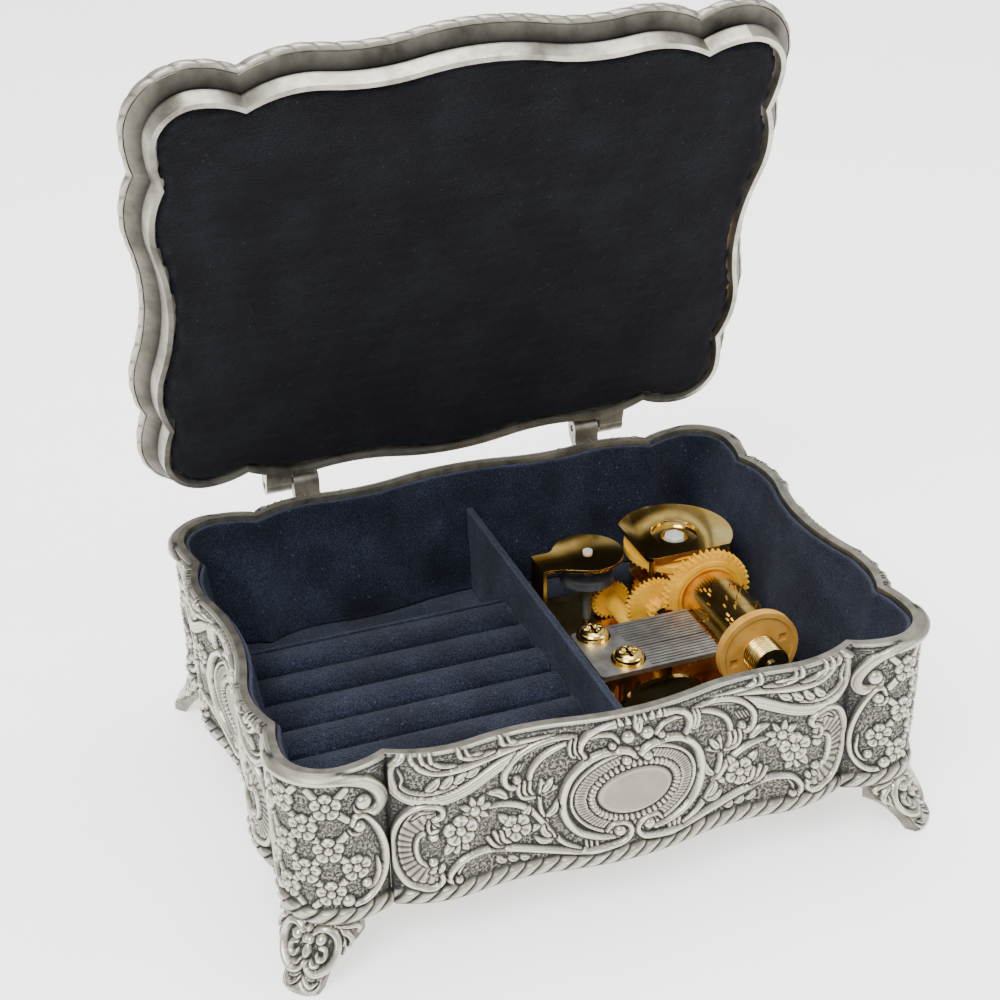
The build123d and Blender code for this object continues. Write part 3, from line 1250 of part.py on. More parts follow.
# Winding arbor, ratchet, pawl and key
with BuildPart() as arbor:
    with BuildSketch(Plane.XY.offset(CROWN_ROOT_Z - RUN_GAP)):
        with Locations(arbor_at):
            Circle(ARBOR_RADIUS)
    extrude(amount=KEY_CLEARANCE + 2 * KEY_WING_RADIUS - KEY_SOCKET - CROWN_ROOT_Z)
    with BuildSketch(Plane.XY.offset(CROWN_ROOT_Z - RUN_GAP)):
        with Locations(arbor_at):
            Circle(ARBOR_TIP_RADIUS)
    extrude(amount=CROWN_DISC + ARBOR_TIP)
write(arbor, "winding_arbor")

ratchet_points = []
for tooth in range(RATCHET_TEETH):
    angle = tooth * 360 / RATCHET_TEETH
    ratchet_points.append(polar(RATCHET_ROOT, angle, arbor_at))
    ratchet_points.append(polar(RATCHET_RADIUS, angle, arbor_at))
with BuildPart() as ratchet:
    with BuildSketch(Plane.XY.offset(BED_TOP + RATCHET_RISE)):
        with BuildLine():
            Polyline(*ratchet_points, close=True)
        make_face()
        with Locations(arbor_at):
            Circle(ARBOR_RADIUS + PRESS_GAP, mode=Mode.SUBTRACT)
    extrude(amount=RATCHET_THICKNESS)
write(ratchet, "ratchet_wheel")

pawl_pivot = polar(PAWL_PIVOT[1], PAWL_PIVOT[0], arbor_at)
with BuildPart() as pawl:
    with BuildSketch(Plane.XY.offset(BED_TOP + RATCHET_RISE)):
        with Locations(pawl_pivot):
            Circle(PAWL_PIVOT_RADIUS)
        with Locations(polar(PAWL_TIP[1], PAWL_TIP[0], arbor_at)):
            Circle(PAWL_TIP_RADIUS)
        make_hull()
    extrude(amount=RATCHET_THICKNESS)
    with BuildSketch(Plane.XY.offset(BED_TOP)):
        with Locations(pawl_pivot):
            Circle(PAWL_PIVOT_RADIUS * PAWL_PIN_SHARE)
    extrude(amount=RATCHET_RISE)
write(pawl, "click_pawl")

key_middle_z = KEY_CLEARANCE + KEY_WING_RADIUS
key_hub_z = key_middle_z - KEY_HUB_HEIGHT / 2 + KEY_HUB_RISE
with BuildPart() as key:
    with BuildSketch(front_plane(BARREL_Y + KEY_THICKNESS / 2)):
        for side in (-1, 1):
            with Locations((SPINDLE_X + side * KEY_SPREAD, key_middle_z)):
                Circle(KEY_WING_RADIUS)
        make_hull()
        for side in (-1, 1):
            with Locations((SPINDLE_X + side * KEY_SPREAD, key_middle_z)):
                Circle(KEY_WING_RADIUS * KEY_EYE_SHARE, mode=Mode.SUBTRACT)
    extrude(amount=KEY_THICKNESS)
    with BuildSketch(Plane.XY.offset(key_hub_z)):
        with Locations(arbor_at):
            Circle(KEY_HUB_RADIUS)
    extrude(amount=KEY_HUB_HEIGHT)
    with BuildSketch(Plane.XY.offset(KEY_CLEARANCE + 2 * KEY_WING_RADIUS - KEY_SOCKET - RUN_GAP)):
        with Locations(arbor_at):
            Circle(ARBOR_RADIUS + PRESS_GAP)
    extrude(amount=KEY_HUB_HEIGHT, mode=Mode.SUBTRACT)
write(key, "winding_key")
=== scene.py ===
"""Jewelry music box: antiqued cast box on four feet, navy velvet inside, and a wind-up musical movement."""
import math

import bmesh
import bpy
import numpy as np
from mathutils import Matrix, Vector


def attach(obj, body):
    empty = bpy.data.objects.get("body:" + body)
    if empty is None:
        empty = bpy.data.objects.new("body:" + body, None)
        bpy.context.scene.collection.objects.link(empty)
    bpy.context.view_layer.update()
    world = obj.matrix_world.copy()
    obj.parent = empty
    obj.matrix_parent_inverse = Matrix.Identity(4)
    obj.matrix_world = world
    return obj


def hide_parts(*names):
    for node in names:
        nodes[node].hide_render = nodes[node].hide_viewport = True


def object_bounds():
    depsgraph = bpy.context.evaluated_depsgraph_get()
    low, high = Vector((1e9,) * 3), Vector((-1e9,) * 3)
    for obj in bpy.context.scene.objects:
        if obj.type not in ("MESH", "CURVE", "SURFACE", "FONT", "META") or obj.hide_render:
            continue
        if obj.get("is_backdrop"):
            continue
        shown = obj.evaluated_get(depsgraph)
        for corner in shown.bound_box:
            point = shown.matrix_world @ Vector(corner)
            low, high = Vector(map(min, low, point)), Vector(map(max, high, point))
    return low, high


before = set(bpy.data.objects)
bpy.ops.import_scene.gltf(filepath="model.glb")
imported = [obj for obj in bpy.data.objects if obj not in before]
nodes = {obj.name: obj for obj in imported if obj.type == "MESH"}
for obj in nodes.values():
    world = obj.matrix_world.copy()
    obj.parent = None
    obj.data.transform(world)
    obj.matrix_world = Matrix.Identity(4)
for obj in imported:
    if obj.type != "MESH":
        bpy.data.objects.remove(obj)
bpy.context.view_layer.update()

# Camera: a short telephoto view of the open box from the front left and above,
# turned a little about its own line of sight as in the photograph.
CAMERA_PLACE = (-0.1195, -0.3036, 0.2452)
CAMERA_AZIMUTH = -20.323
CAMERA_ELEVATION = 29.049
CAMERA_ROLL = -0.8912
CAMERA_LENS = 67.27
view_turn = (
    Matrix.Rotation(math.radians(CAMERA_AZIMUTH), 4, "Z")
    @ Matrix.Rotation(math.radians(90 - CAMERA_ELEVATION), 4, "X")
    @ Matrix.Rotation(math.radians(CAMERA_ROLL), 4, "Z")
)
bpy.ops.object.camera_add(location=CAMERA_PLACE, rotation=view_turn.to_euler())
camera = bpy.context.object
camera.name = "camera"
camera.data.lens = CAMERA_LENS
camera.data.sensor_width = 36
camera.data.clip_start = 0.01
bpy.context.scene.camera = camera


# Floor: one large sheet of white acrylic lit a little from below, which is not part of the object.
# It fills the whole picture behind the box.
def linear(colour):
    """Linear RGBA from an sRGB hex colour."""
    parts = [int(colour[i : i + 2], 16) / 255 for i in (1, 3, 5)]
    return tuple(c / 12.92 if c <= 0.04045 else ((c + 0.055) / 1.055) ** 2.4 for c in parts) + (1,)


def add(tree, kind, links=(), stops=(), **settings):
    """Adds a node. Settings are its properties or inputs, links (input, source), stops a ramp's colours."""
    node = tree.nodes.new(kind)
    for name, value in settings.items():
        if hasattr(node, name):
            setattr(node, name, value)
        else:
            node.inputs[name.replace("_", " ")].default_value = value
    for number, (place, colour) in enumerate(stops):
        bands = node.color_ramp.elements
        band = bands[number] if number < 2 else bands.new(place)
        band.position = place
        band.color = linear(colour)
    for socket, source in links:
        tree.links.new(source, node.inputs[socket])
    return node


def new_material(name):
    """A node material with its Principled shader, and the object's own coordinates as a source."""
    material = bpy.data.materials.new(name)
    material.use_nodes = True
    tree = material.node_tree
    place = add(tree, "ShaderNodeTexCoord").outputs["Object"]
    return material, tree, tree.nodes["Principled BSDF"], place


def pick(piece):
    """Makes this piece the only selected and active one."""
    bpy.ops.object.select_all(action="DESELECT")
    piece.select_set(True)
    bpy.context.view_layer.objects.active = piece


def dress(material, *names):
    """Gives these CAD nodes one material."""
    for name in names:
        nodes[name].data.materials.clear()
        nodes[name].data.materials.append(material)


FLOOR_SIZE = 12.0
bpy.ops.object.select_all(action="DESELECT")
bpy.ops.mesh.primitive_plane_add(size=FLOOR_SIZE, location=(0, 0, 0))
floor = bpy.context.object
floor.name = "floor"
acrylic, tree, shader, place = new_material("white acrylic sheet")
grain = add(tree, "ShaderNodeTexNoise", [("Vector", place)], Scale=40.0, Detail=3.0)
tint = add(tree, "ShaderNodeValToRGB", [("Fac", grain.outputs["Fac"])], ((0.3, "#FCFCFB"), (0.7, "#FFFFFF")))
tree.links.new(tint.outputs["Color"], shader.inputs["Base Color"])
shader.inputs["Roughness"].default_value = 0.9
shader.inputs["Emission Color"].default_value = linear("#FFFDFA")
shader.inputs["Emission Strength"].default_value = 1.4
floor.data.materials.append(acrylic)
floor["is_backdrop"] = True

# Studio light: a large softbox high on the left in front, a weaker one on the right, and a long
# one above, so polished parts see bright panels with darker room between them.
for name, position, size, power in (
    ("key_softbox", (-0.55, -0.55, 0.95), 0.6, 16.0),
    ("fill_softbox", (0.8, -0.55, 0.55), 0.5, 4.0),
    ("top_softbox", (0.1, 0.25, 1.1), 0.7, 12.0),
):
    towards = Vector((0, 0, 0.04)) - Vector(position)
    bpy.ops.object.light_add(
        type="AREA", location=position, rotation=towards.to_track_quat("-Z", "Y").to_euler()
    )
    lamp = bpy.context.object
    lamp.name = name
    lamp.data.size = size
    lamp.data.energy = power
room = bpy.data.worlds.new("room")
bpy.context.scene.world = room
room.use_nodes = True
room.node_tree.nodes["Background"].inputs["Color"].default_value = linear("#F4F5F6")
room.node_tree.nodes["Background"].inputs["Strength"].default_value = 0.8


# Carved walls of the box: zinc alloy die casting, plated and antiqued, then rubbed back, so the
# crests are bright and the hollows stay nearly black. The carving is drawn as heights in
# millimetres on the flattened wall and then laid round the casting as one skin for each side.
GRID = 0.19
MOAT = 0.32


class Wall:
    """A flat patch of wall: along and up in millimetres, and the height of the carving on it."""

    def __init__(self, reach, low, high, squeeze=1.0, shift=0.0):
        self.lead = (-5 * GRID, low)
        self.squeeze = squeeze
        self.shift = shift
        along = np.arange(-5, round(reach / GRID) + 1) * GRID
        self.along, self.up = np.meshgrid(along, low + np.arange(round((high - low) / GRID) + 1) * GRID)
        self.height = np.zeros(self.along.shape)

    def place(self, points):
        """Where a drawing's points fall on this wall, which may be a shorter one than it was drawn for."""
        points = np.array(points, float)
        points[..., 0] = points[..., 0] * self.squeeze + self.shift
        return points

    def window(self, low, high):
        """Rows and columns between two corners."""
        first = [max(0, int((low[k] - self.lead[k]) / GRID)) for k in (0, 1)]
        last = [max(0, int((high[k] - self.lead[k]) / GRID) + 2) for k in (0, 1)]
        return slice(first[1], last[1]), slice(first[0], last[0])

    def lay(self, window, height, beyond):
        """Puts a raised shape over what is there, with a moat cut round it. Beyond is distance outside it."""
        under = self.height[window]
        in_moat = (beyond > 0) & (beyond < MOAT)
        under = np.where(in_moat, np.minimum(under, 0.04 + 0.2 * beyond / MOAT), under)
        self.height[window] = np.where(beyond <= 0, np.maximum(height, 0.05), under)


def rounded_line(points, step=0.3):
    """Places along a smooth line through the points, about a step apart."""
    points = np.array(points, float)
    ends = np.vstack([2 * points[0] - points[1], points, 2 * points[-1] - points[-2]])
    places = []
    for a, b, c, d in zip(ends, ends[1:], ends[2:], ends[3:]):
        count = max(2, int(np.hypot(*(c - b)) / step))
        t = np.arange(count)[:, None] / count
        cubic = (2 * a - 5 * b + 4 * c - d) * t**2 + (3 * b - a - 3 * c + d) * t**3
        places.append(0.5 * (2 * b + (c - a) * t + cubic))
    return np.vstack(places + [points[-1:]])


def near_line(wall, line, reach):
    """The window round a line, each point's distance from it, share along it and signed distance."""
    window = wall.window(line.min(0) - reach, line.max(0) + reach)
    x = wall.along[window]
    y = wall.up[window]
    gap = np.full(x.shape, 1e9)
    share = np.zeros(x.shape)
    side = np.zeros(x.shape)
    steps = np.hypot(*np.diff(line, axis=0).T)
    starts = np.concatenate([[0], np.cumsum(steps)])
    for (ax, ay), (bx, by), length, start in zip(line, line[1:], steps, starts):
        if length == 0:
            continue
        tx, ty = (bx - ax) / length, (by - ay) / length
        run = np.clip((x - ax) * tx + (y - ay) * ty, 0, length)
        gx, gy = x - ax - run * tx, y - ay - run * ty
        far = np.hypot(gx, gy)
        closer = far < gap
        gap[closer] = far[closer]
        share[closer] = ((start + run) / starts[-1])[closer]
        side[closer] = (tx * gy - ty * gx)[closer]
    return window, gap, share, side


def stroke(wall, points, width, height, start=0.5, end=0.5, creases=(), flat=0.0):
    """A rounded rib along a line. Start and end are the shares of its width left at its ends."""
    window, gap, share, side = near_line(wall, rounded_line(wall.place(points)), width)
    swell_in = start + (1 - start) * np.minimum(share / 0.3, 1) ** 0.7
    grown = np.minimum(swell_in, end + (1 - end) * np.minimum((1 - share) / 0.3, 1) ** 0.7)
    half = width / 2 * grown
    dome = np.sqrt(np.clip(1 - (gap / half) ** 2, 0, 1))
    top = height * (0.55 + 0.45 * grown) * (0.35 + 0.65 * np.minimum(dome / (1 - flat), 1))
    for spot, depth in creases:
        top = top - depth * np.exp(-(((side / half) - spot) / 0.16) ** 2)
    wall.lay(window, top, gap - half)


def ball(wall, at, radius, height, squash=1.0, turn=0.0):
    """A dome, narrowed across its long axis by squash and swung by turn degrees."""
    at = wall.place(at)
    window = wall.window(at - radius - MOAT, at + radius + MOAT)
    x = wall.along[window] - at[0]
    y = wall.up[window] - at[1]
    c, s = math.cos(math.radians(turn)), math.sin(math.radians(turn))
    far = np.hypot((x * c + y * s) / squash, -x * s + y * c)
    top = height * (0.3 + 0.7 * np.sqrt(np.clip(1 - (far / radius) ** 2, 0, 1)))
    wall.lay(window, top, far - radius)


def flower(wall, at, radius, count, height, turn=90.0, pointed=False):
    """Dished petals that meet in creases round a button."""
    at = wall.place(at)
    window = wall.window(at - radius - MOAT, at + radius + MOAT)
    x = wall.along[window] - at[0]
    y = wall.up[window] - at[1]
    far = np.hypot(x, y)
    part = (np.degrees(np.arctan2(y, x)) - turn) * count / 360
    beside = 2 * np.abs((part + 0.5) % 1 - 0.5)
    edge = radius * (1 - (0.55 * beside if pointed else 0.24 * beside**2.5))
    share = np.clip(far / edge, 0, 1)
    top = height * (0.45 + 0.5 * share**0.8 - 0.3 * np.clip((share - 0.82) / 0.18, 0, 1) ** 2)
    arc = far * math.pi / count
    top = top - 0.5 * height * np.exp(-(((1 - beside) * arc / 0.19) ** 2)) * np.clip(2 * share, 0, 1)
    top = top - 0.14 * height * np.exp(-((beside * arc / 0.16) ** 2)) * (share < 0.8)
    wall.lay(window, top, far - edge)
    button = radius * 0.29
    dome = height * (0.5 + 0.65 * np.sqrt(np.clip(1 - (far / button) ** 2, 0, 1)))
    wall.lay(window, dome, np.where(far < button + 0.2, far - button, 9))


def leaf(wall, root, tip, width, height, bend=0.0):
    """A pointed leaf with a groove along it. Bend bows it sideways by that share of its length."""
    root, tip = wall.place([root, tip])
    middle = (root + tip) / 2 + bend * np.array([root[1] - tip[1], tip[0] - root[0]])
    window, gap, share, side = near_line(wall, rounded_line([root, middle, tip]), width)
    half = width / 2 * np.sin(np.clip(share, 0.02, 0.98) ** 0.8 * math.pi) ** 0.7
    top = height * (0.4 + 0.6 * np.sqrt(np.clip(1 - (gap / np.maximum(half, 0.02)) ** 2, 0, 1)))
    top = top - 0.3 * height * np.exp(-((side / 0.17) ** 2))
    wall.lay(window, top, gap - half)


def lumps(shape, size, seed):
    """Smooth random lumps about a size across in millimetres, from 0 to 1."""
    step = size / GRID
    seeds = np.random.default_rng(seed).random((int(shape[0] / step) + 3, int(shape[1] / step) + 3))
    row, column = np.arange(shape[0]) / step, np.arange(shape[1]) / step
    i, j = row.astype(int), column.astype(int)
    fy, fx = (row - i)[:, None], (column - j)[None, :]
    fy, fx = fy * fy * (3 - 2 * fy), fx * fx * (3 - 2 * fx)
    top = seeds[i][:, j] * (1 - fx) + seeds[i][:, j + 1] * fx
    return top * (1 - fy) + (seeds[i + 1][:, j] * (1 - fx) + seeds[i + 1][:, j + 1] * fx) * fy


def bark(shape, seed):
    """The stippled ground between the ornaments: crossing worm tracks 0.4 mm wide."""
    ground = 0.03 + 0.06 * lumps(shape, 2.2, seed)
    for number in (1, 2, 3):
        field = lumps(shape, 0.5, seed + number) + 0.3 * lumps(shape, 1.1, seed + 10 + number)
        ground = np.maximum(ground, 0.3 * np.clip(1 - np.abs(field - 0.66) / 0.1, 0, 1))
    return ground


def cartouche(wall):
    """A plain brushed oval in a ring of beads and a fluted border, held by two large C scrolls."""
    x, y = wall.along, wall.up - 28.7
    bearing = np.arctan2(y / 10.2, x / 13.2)
    border = (np.hypot(x / 9.4, y / 7.0) > 1) & (np.hypot(x / 13.2, y / 10.2) < 1)
    flutes = 0.6 * (0.4 + 0.6 * np.sqrt(np.abs(np.cos(bearing * 42))))
    wall.height = np.where(border, flutes, wall.height)
    turns = np.radians(np.linspace(0, 180, 40))
    stroke(wall, np.stack([12.6 * np.sin(turns), 28.7 + 9.5 * np.cos(turns)], 1), 0.7, 0.75, 1, 1)
    wall.height = np.where(np.hypot(x / 9.6, y / 7.2) < 1, 0.06, wall.height)
    rim = np.hypot(x / 7.7, y / 5.3)
    plate = 0.72 - 0.5 * np.clip((rim - 0.86) / 0.14, 0, 1) ** 2
    wall.height = np.where(rim < 1, plate, wall.height)
    for number in range(46):
        turn = 2 * math.pi * (number + 0.5) / 46
        across, along = math.cos(turn) / 6.25, math.sin(turn) / 8.7
        if math.sin(turn) > -0.2:
            at = (8.7 * math.sin(turn), 28.7 + 6.25 * math.cos(turn))
            ball(wall, at, 0.72, 1.05, 0.66, math.degrees(math.atan2(across, along)) - 90)
    big_c = [(1.7, 36.4), (0.9, 37.3), (2.6, 38.5), (6.0, 38.9), (9.6, 37.6), (12.8, 34.2), (14.2, 29.4),
             (13.6, 25.0), (11.2, 21.4), (7.6, 19.5), (4.2, 18.8)]
    stroke(wall, big_c, 1.5, 1.5, 0.8, 0.5, ((0.25, 0.14),))
    ball(wall, (2.1, 36.2), 0.95, 1.5)


def acanthus(wall):
    """The long leaf that curls over under the rim, with its ribs and leaflets."""
    lower = [(44.6, 46.4), (46.3, 44.4), (46.9, 41.6), (45.6, 38.4), (42.0, 36.4), (38, 36.1), (34, 36.9),
             (30, 38.4), (26, 40.2), (22, 41.7), (18, 42.7), (14, 43.3)]
    stroke(wall, lower, 2.3, 1.35, 0.7, 0.3, ((0.35, 0.18), (-0.3, 0.12)))
    inner = [(45.3, 43.2), (44.6, 41.2), (44.9, 39.6), (43.0, 38.2), (39.5, 37.7), (35.0, 38.6), (31.0, 39.9)]
    stroke(wall, inner, 0.7, 0.9, 0.6, 0.2)
    for root, tip in (
        ((40.5, 38.4), (38.0, 40.8)), ((37.9, 38.6), (35.6, 41.0)), ((35.4, 39.1), (33.1, 41.2)),
        ((33.0, 39.8), (30.4, 41.6)),
    ):
        leaf(wall, root, tip, 1.7, 0.95, 0.1)
    midrib = [(43.0, 46.2), (42.3, 44.6), (41.3, 43.2), (38.8, 42.2), (35, 42.0), (31, 42.2), (27, 42.7),
              (22, 43.3), (18.0, 43.8)]
    stroke(wall, midrib, 1.4, 1.2, 0.6, 0.3, ((0.0, 0.12),))
    stroke(wall, [(41.3, 46.3), (40.6, 44.6), (39.0, 43.3), (36.1, 42.8)], 0.9, 1.1, 0.9, 0.3)
    stroke(wall, [(39.7, 46.3), (39.3, 44.7), (37.7, 43.5), (34.8, 42.9)], 0.8, 1.1, 0.9, 0.3)
    stroke(wall, [(34.6, 46.2), (34.3, 45.0), (33.2, 44.0), (31.0, 43.5), (27, 43.4)], 1.0, 1.1, 0.9, 0.2)
    stroke(wall, [(33.3, 46.0), (32.8, 45.0), (31.5, 44.3), (29.5, 43.9)], 0.7, 1.0, 0.9, 0.2)
    last_leaf = [(26.3, 46.2), (26.0, 45.1), (24.6, 44.4), (22, 44.2), (18.5, 44.3), (15, 44.2)]
    stroke(wall, last_leaf, 1.1, 1.15, 0.9, 0.3)
    stroke(wall, [(24.9, 46.0), (24.4, 45.2), (23.0, 44.8)], 0.8, 1.0, 0.9, 0.3)


def crown(wall):
    """The arched scroll over the cartouche, with its pair of balls and small leaves."""
    arch = [(0.0, 44.7), (3.0, 45.3), (6.5, 45.0), (9.4, 43.6), (10.9, 41.4), (10.9, 39.6), (10.1, 38.6)]
    stroke(wall, arch, 1.5, 1.35, 0.6, 0.7, ((0.0, 0.16),))
    stroke(wall, [(11.7, 43.0), (12.1, 41.2), (11.8, 39.6), (11.0, 38.3)], 0.75, 1.05, 0.5, 0.6)
    stroke(wall, [(12.6, 43.0), (13.0, 41.2), (12.7, 39.2), (11.9, 38.8)], 0.75, 1.05, 0.5, 0.6)
    stroke(wall, [(9.2, 42.4), (7.3, 42.9), (5.2, 42.4), (4.0, 41.1), (4.1, 39.9)], 0.95, 1.0, 0.4, 0.9)
    ball(wall, (4.9, 39.9), 0.8, 1.15)
    ball(wall, (1.9, 41.3), 1.25, 1.45)
    for x in (0.9, 2.6, 4.2):
        leaf(wall, (x * 0.8, 44.3), (x, 46.3), 1.1, 1.15)
    leaf(wall, (0.0, 42.0), (0.0, 45.9), 1.9, 1.3)


def long_stem(wall):
    """The S stem that springs from a spiral below the cartouche."""
    for x, y in ((9.6, 18.6), (8.6, 18.2), (7.5, 17.9)):
        nested = [(x, y + 0.3), (x - 0.2, y - 1.0), (x - 1.5, y - 1.7), (x - 3.6, y - 1.5)]
        stroke(wall, nested, 0.6, 0.95, 0.9, 0.3)
    stem = [(5.6, 20.4), (4.6, 21.7), (2.7, 21.8), (1.0, 20.6), (0.7, 18.9), (1.9, 17.3), (4.5, 16.6),
            (8.5, 16.4), (13, 17.0), (18, 18.2), (23, 19.8), (27.5, 21.3), (31.0, 21.8), (34.3, 20.9),
            (36.2, 18.9), (36.7, 17.2), (35.9, 16.3)]
    stroke(wall, stem, 1.35, 1.3, 0.5, 0.8, ((0.3, 0.14),))
    ball(wall, (3.0, 19.9), 1.15, 1.4)
    ball(wall, (34.9, 16.7), 0.85, 1.3)
    for k in range(3):
        end = (34.6 + 0.2 * k, 17.8 - 0.1 * k)
        fold = [(31.5 + k, 20.9 - 0.2 * k), (33.6 + 0.5 * k, 19.6 - 0.3 * k), end]
        stroke(wall, fold, 0.5, 0.8, 0.3, 0.5)


def shell(wall):
    """The fluted shell in its C scroll beside the cusp."""
    at = wall.place((41.3, 25.3))
    x, y = wall.along - at[0], wall.up - at[1]
    outer = np.hypot(x / 5.3, y / 9.5)
    inside = (outer < 1) & (np.hypot((x + 2.2) / 2.6, y / 3.6) > 1) & (x > -2.4)
    wave = np.sqrt(np.abs(np.cos(np.arctan2(y, x + 3.5) * 17)))
    wall.height = np.where(inside, (0.3 + 0.5 * outer) * (0.45 + 0.55 * wave), wall.height)
    stroke(wall, [(40.6, 29.2), (42.1, 28.2), (42.6, 25.6), (42.1, 22.9), (40.6, 21.2)], 0.95, 1.15, 0.7, 0.7)
    ball(wall, (39.4, 27.8), 0.95, 1.25)
    ball(wall, (39.6, 21.9), 0.9, 1.25)
    stroke(wall, [(38.6, 29.2), (39.9, 28.9), (40.3, 30.2), (39.8, 31.6), (38.4, 30.4)], 0.7, 0.95, 0.8, 0.8)
    scroll = [(39.3, 31.8), (37.9, 32.3), (37.7, 33.7), (39.1, 34.9), (41.8, 35.1), (44.4, 33.6),
              (46.2, 30.4), (46.9, 26.2), (46.3, 21.2), (44.4, 17.6), (41.6, 16.3), (39.0, 16.3),
              (37.9, 17.5), (38.3, 18.9), (39.4, 19.3)]
    stroke(wall, scroll, 1.35, 1.4, 0.7, 0.7, ((-0.3, 0.14),))
    stroke(wall, [(39.3, 33.4), (41.5, 33.5), (43.4, 32.0)], 0.5, 0.8, 0.4, 0.3)
    leaf(wall, (38.6, 20.6), (40.4, 19.3), 1.2, 1.0)
    leaf(wall, (37.6, 21.0), (38.6, 19.0), 1.2, 0.95)


WALL_LOW = 12.35
WALL_HIGH = 46.5
long_wall = Wall(47.5, WALL_LOW, WALL_HIGH)
long_wall.height = bark(long_wall.height.shape, 4)
cartouche(long_wall)
acanthus(long_wall)
for x in (21.6, 22.3, 23.0, 23.7):
    stroke(long_wall, [(x, 38.9), (x + 0.9, 37.4)], 0.35, 0.6, 1, 1)
mid_scroll = [(11.5, 43.2), (15, 43.6), (19, 43.0), (22.8, 41.2), (25.1, 38.6), (25.5, 36.2), (24.6, 34.6),
              (23.3, 34.3), (22.5, 35.3)]
stroke(long_wall, mid_scroll, 1.25, 1.3, 0.5, 0.8, ((0.35, 0.14),))
ball(long_wall, (23.0, 35.7), 0.85, 1.35)
stroke(long_wall, [(12.8, 42.3), (16.0, 41.1), (18.8, 39.2), (20.3, 36.8), (20.5, 34.6)], 1.2, 1.15, 0.4, 0.8)
for x in (20.4, 21.5, 22.6):
    curl = [(x, 34.8), (x + 0.15, 32.9), (x - 0.7, 31.4), (0.6 * x + 5.9, 30.9)]
    stroke(long_wall, curl, 0.85, 1.0, 0.7, 0.5)
crown(long_wall)
long_stem(long_wall)
bud_stem = [(10.5, 17.2), (13.6, 18.9), (16.0, 21.8), (17.6, 25.2), (18.5, 28.6), (18.6, 31.3)]
stroke(long_wall, bud_stem, 1.1, 1.15, 0.3, 0.6)
daisy_stem = [(15.6, 20.9), (17.9, 24.6), (20.2, 27.9), (23.0, 30.1), (26.2, 31.2), (28.6, 31.4)]
stroke(long_wall, daisy_stem, 1.25, 1.15, 0.5, 0.5, ((0.2, 0.12),))
for root, tip, width, bend in (
    ((25.0, 32.2), (28.9, 34.6), 1.7, 0.12), ((18.5, 31.2), (18.3, 34.8), 1.5, 0.1),
    ((18.2, 31.2), (15.0, 32.6), 1.3, -0.1), ((18.0, 31.8), (16.0, 34.6), 1.5, 0.0),
    ((17.3, 26.0), (15.2, 29.6), 1.5, 0.15), ((18.5, 24.2), (20.7, 23.1), 1.2, 0.0),
    ((16.3, 21.0), (17.8, 24.4), 1.4, -0.2), ((16.0, 20.2), (19.6, 21.7), 1.3, -0.2),
    ((24.8, 26.4), (26.6, 28.8), 1.8, 0.0), ((21.8, 27.0), (20.4, 29.2), 1.7, 0.0),
    ((35.0, 26.0), (32.8, 23.3), 1.8, 0.0), ((35.4, 26.0), (35.2, 22.8), 1.8, 0.0),
    ((35.6, 26.0), (37.5, 23.2), 1.8, 0.0),
):
    leaf(long_wall, root, tip, width, 0.95, bend)
flower(long_wall, (23.2, 24.7), 3.15, 5, 1.0, 60)
for root, tip in (((25.6, 21.1), (28.9, 24.2)), ((24.6, 21.3), (27.6, 25.0)), ((24.2, 21.6), (26.2, 24.6))):
    elbow = ((root[0] + tip[0]) / 2 + 0.5, (root[1] + tip[1]) / 2 - 0.4)
    stroke(long_wall, [root, elbow, tip], 1.05, 1.05, 0.3, 0.8)
flower(long_wall, (31.6, 31.6), 3.5, 8, 1.05, 80, True)
flower(long_wall, (34.4, 28.1), 3.3, 5, 1.2, 90)
for k in range(3):
    leaf(long_wall, (26.9 - 2.4 * k, 19.0 - 0.7 * k), (24.8 - 2.2 * k, 17.3 - 0.2 * k), 1.5, 0.7, 0.2)
shell(long_wall)

# The short sides repeat the cartouche and shell, with shorter leaves and stems between them.
short_wall = Wall(30.9, WALL_LOW, WALL_HIGH)
short_wall.height = bark(short_wall.height.shape, 21)
cartouche(short_wall)
short_wall.squeeze, short_wall.shift = 0.66, -0.6
acanthus(short_wall)
short_wall.squeeze, short_wall.shift = 1.0, 0.0
crown(short_wall)
short_wall.squeeze = 0.56
long_stem(short_wall)
short_wall.squeeze, short_wall.shift = 1.0, -16.4
shell(short_wall)
flower(short_wall, (34.3, 32.9), 2.3, 5, 0.95)
leaf(short_wall, (35.0, 30.6), (34.4, 27.6), 1.6, 0.9, 0.1)
leaf(short_wall, (33.4, 30.0), (32.3, 27.0), 1.4, 0.85, -0.1)

# The corners carry a lattice of small flowers between two scrolls.
corner_wall = Wall(16.55, WALL_LOW, WALL_HIGH)
corner_wall.height = bark(corner_wall.height.shape, 9)
blooms = [(4.35, 39.3), (4.35, 29.7), (4.35, 19.6), (9.2, 24.7), (0, 34.5), (0, 24.6)]
for a in blooms + [(0, 44.2), (9.4, 34.6), (0, 15.4), (9.2, 15.4), (9.4, 44.0)]:
    for b in blooms:
        if 0 < abs(a[0] - b[0]) < 6 and abs(a[1] - b[1]) < 6:
            ends = [(b[0] + (a[0] - b[0]) * t, b[1] + (a[1] - b[1]) * t) for t in (0.3, 0.7)]
            stroke(corner_wall, ends, 1.25, 0.75, 1, 1, (), 0.6)
for at in blooms:
    flower(corner_wall, at, 2.75, 5, 1.0)
sweep = [(-1.0, 45.6), (4.0, 45.6), (8.0, 44.9), (11.5, 43.2), (13.9, 40.6), (14.8, 38.2), (14.0, 36.6),
         (12.2, 36.1), (10.4, 36.9), (9.8, 38.6)]
stroke(corner_wall, sweep, 2.6, 1.4, 0.9, 0.45, ((0.4, 0.12),))
ball(corner_wall, (11.1, 38.9), 1.45, 1.45)
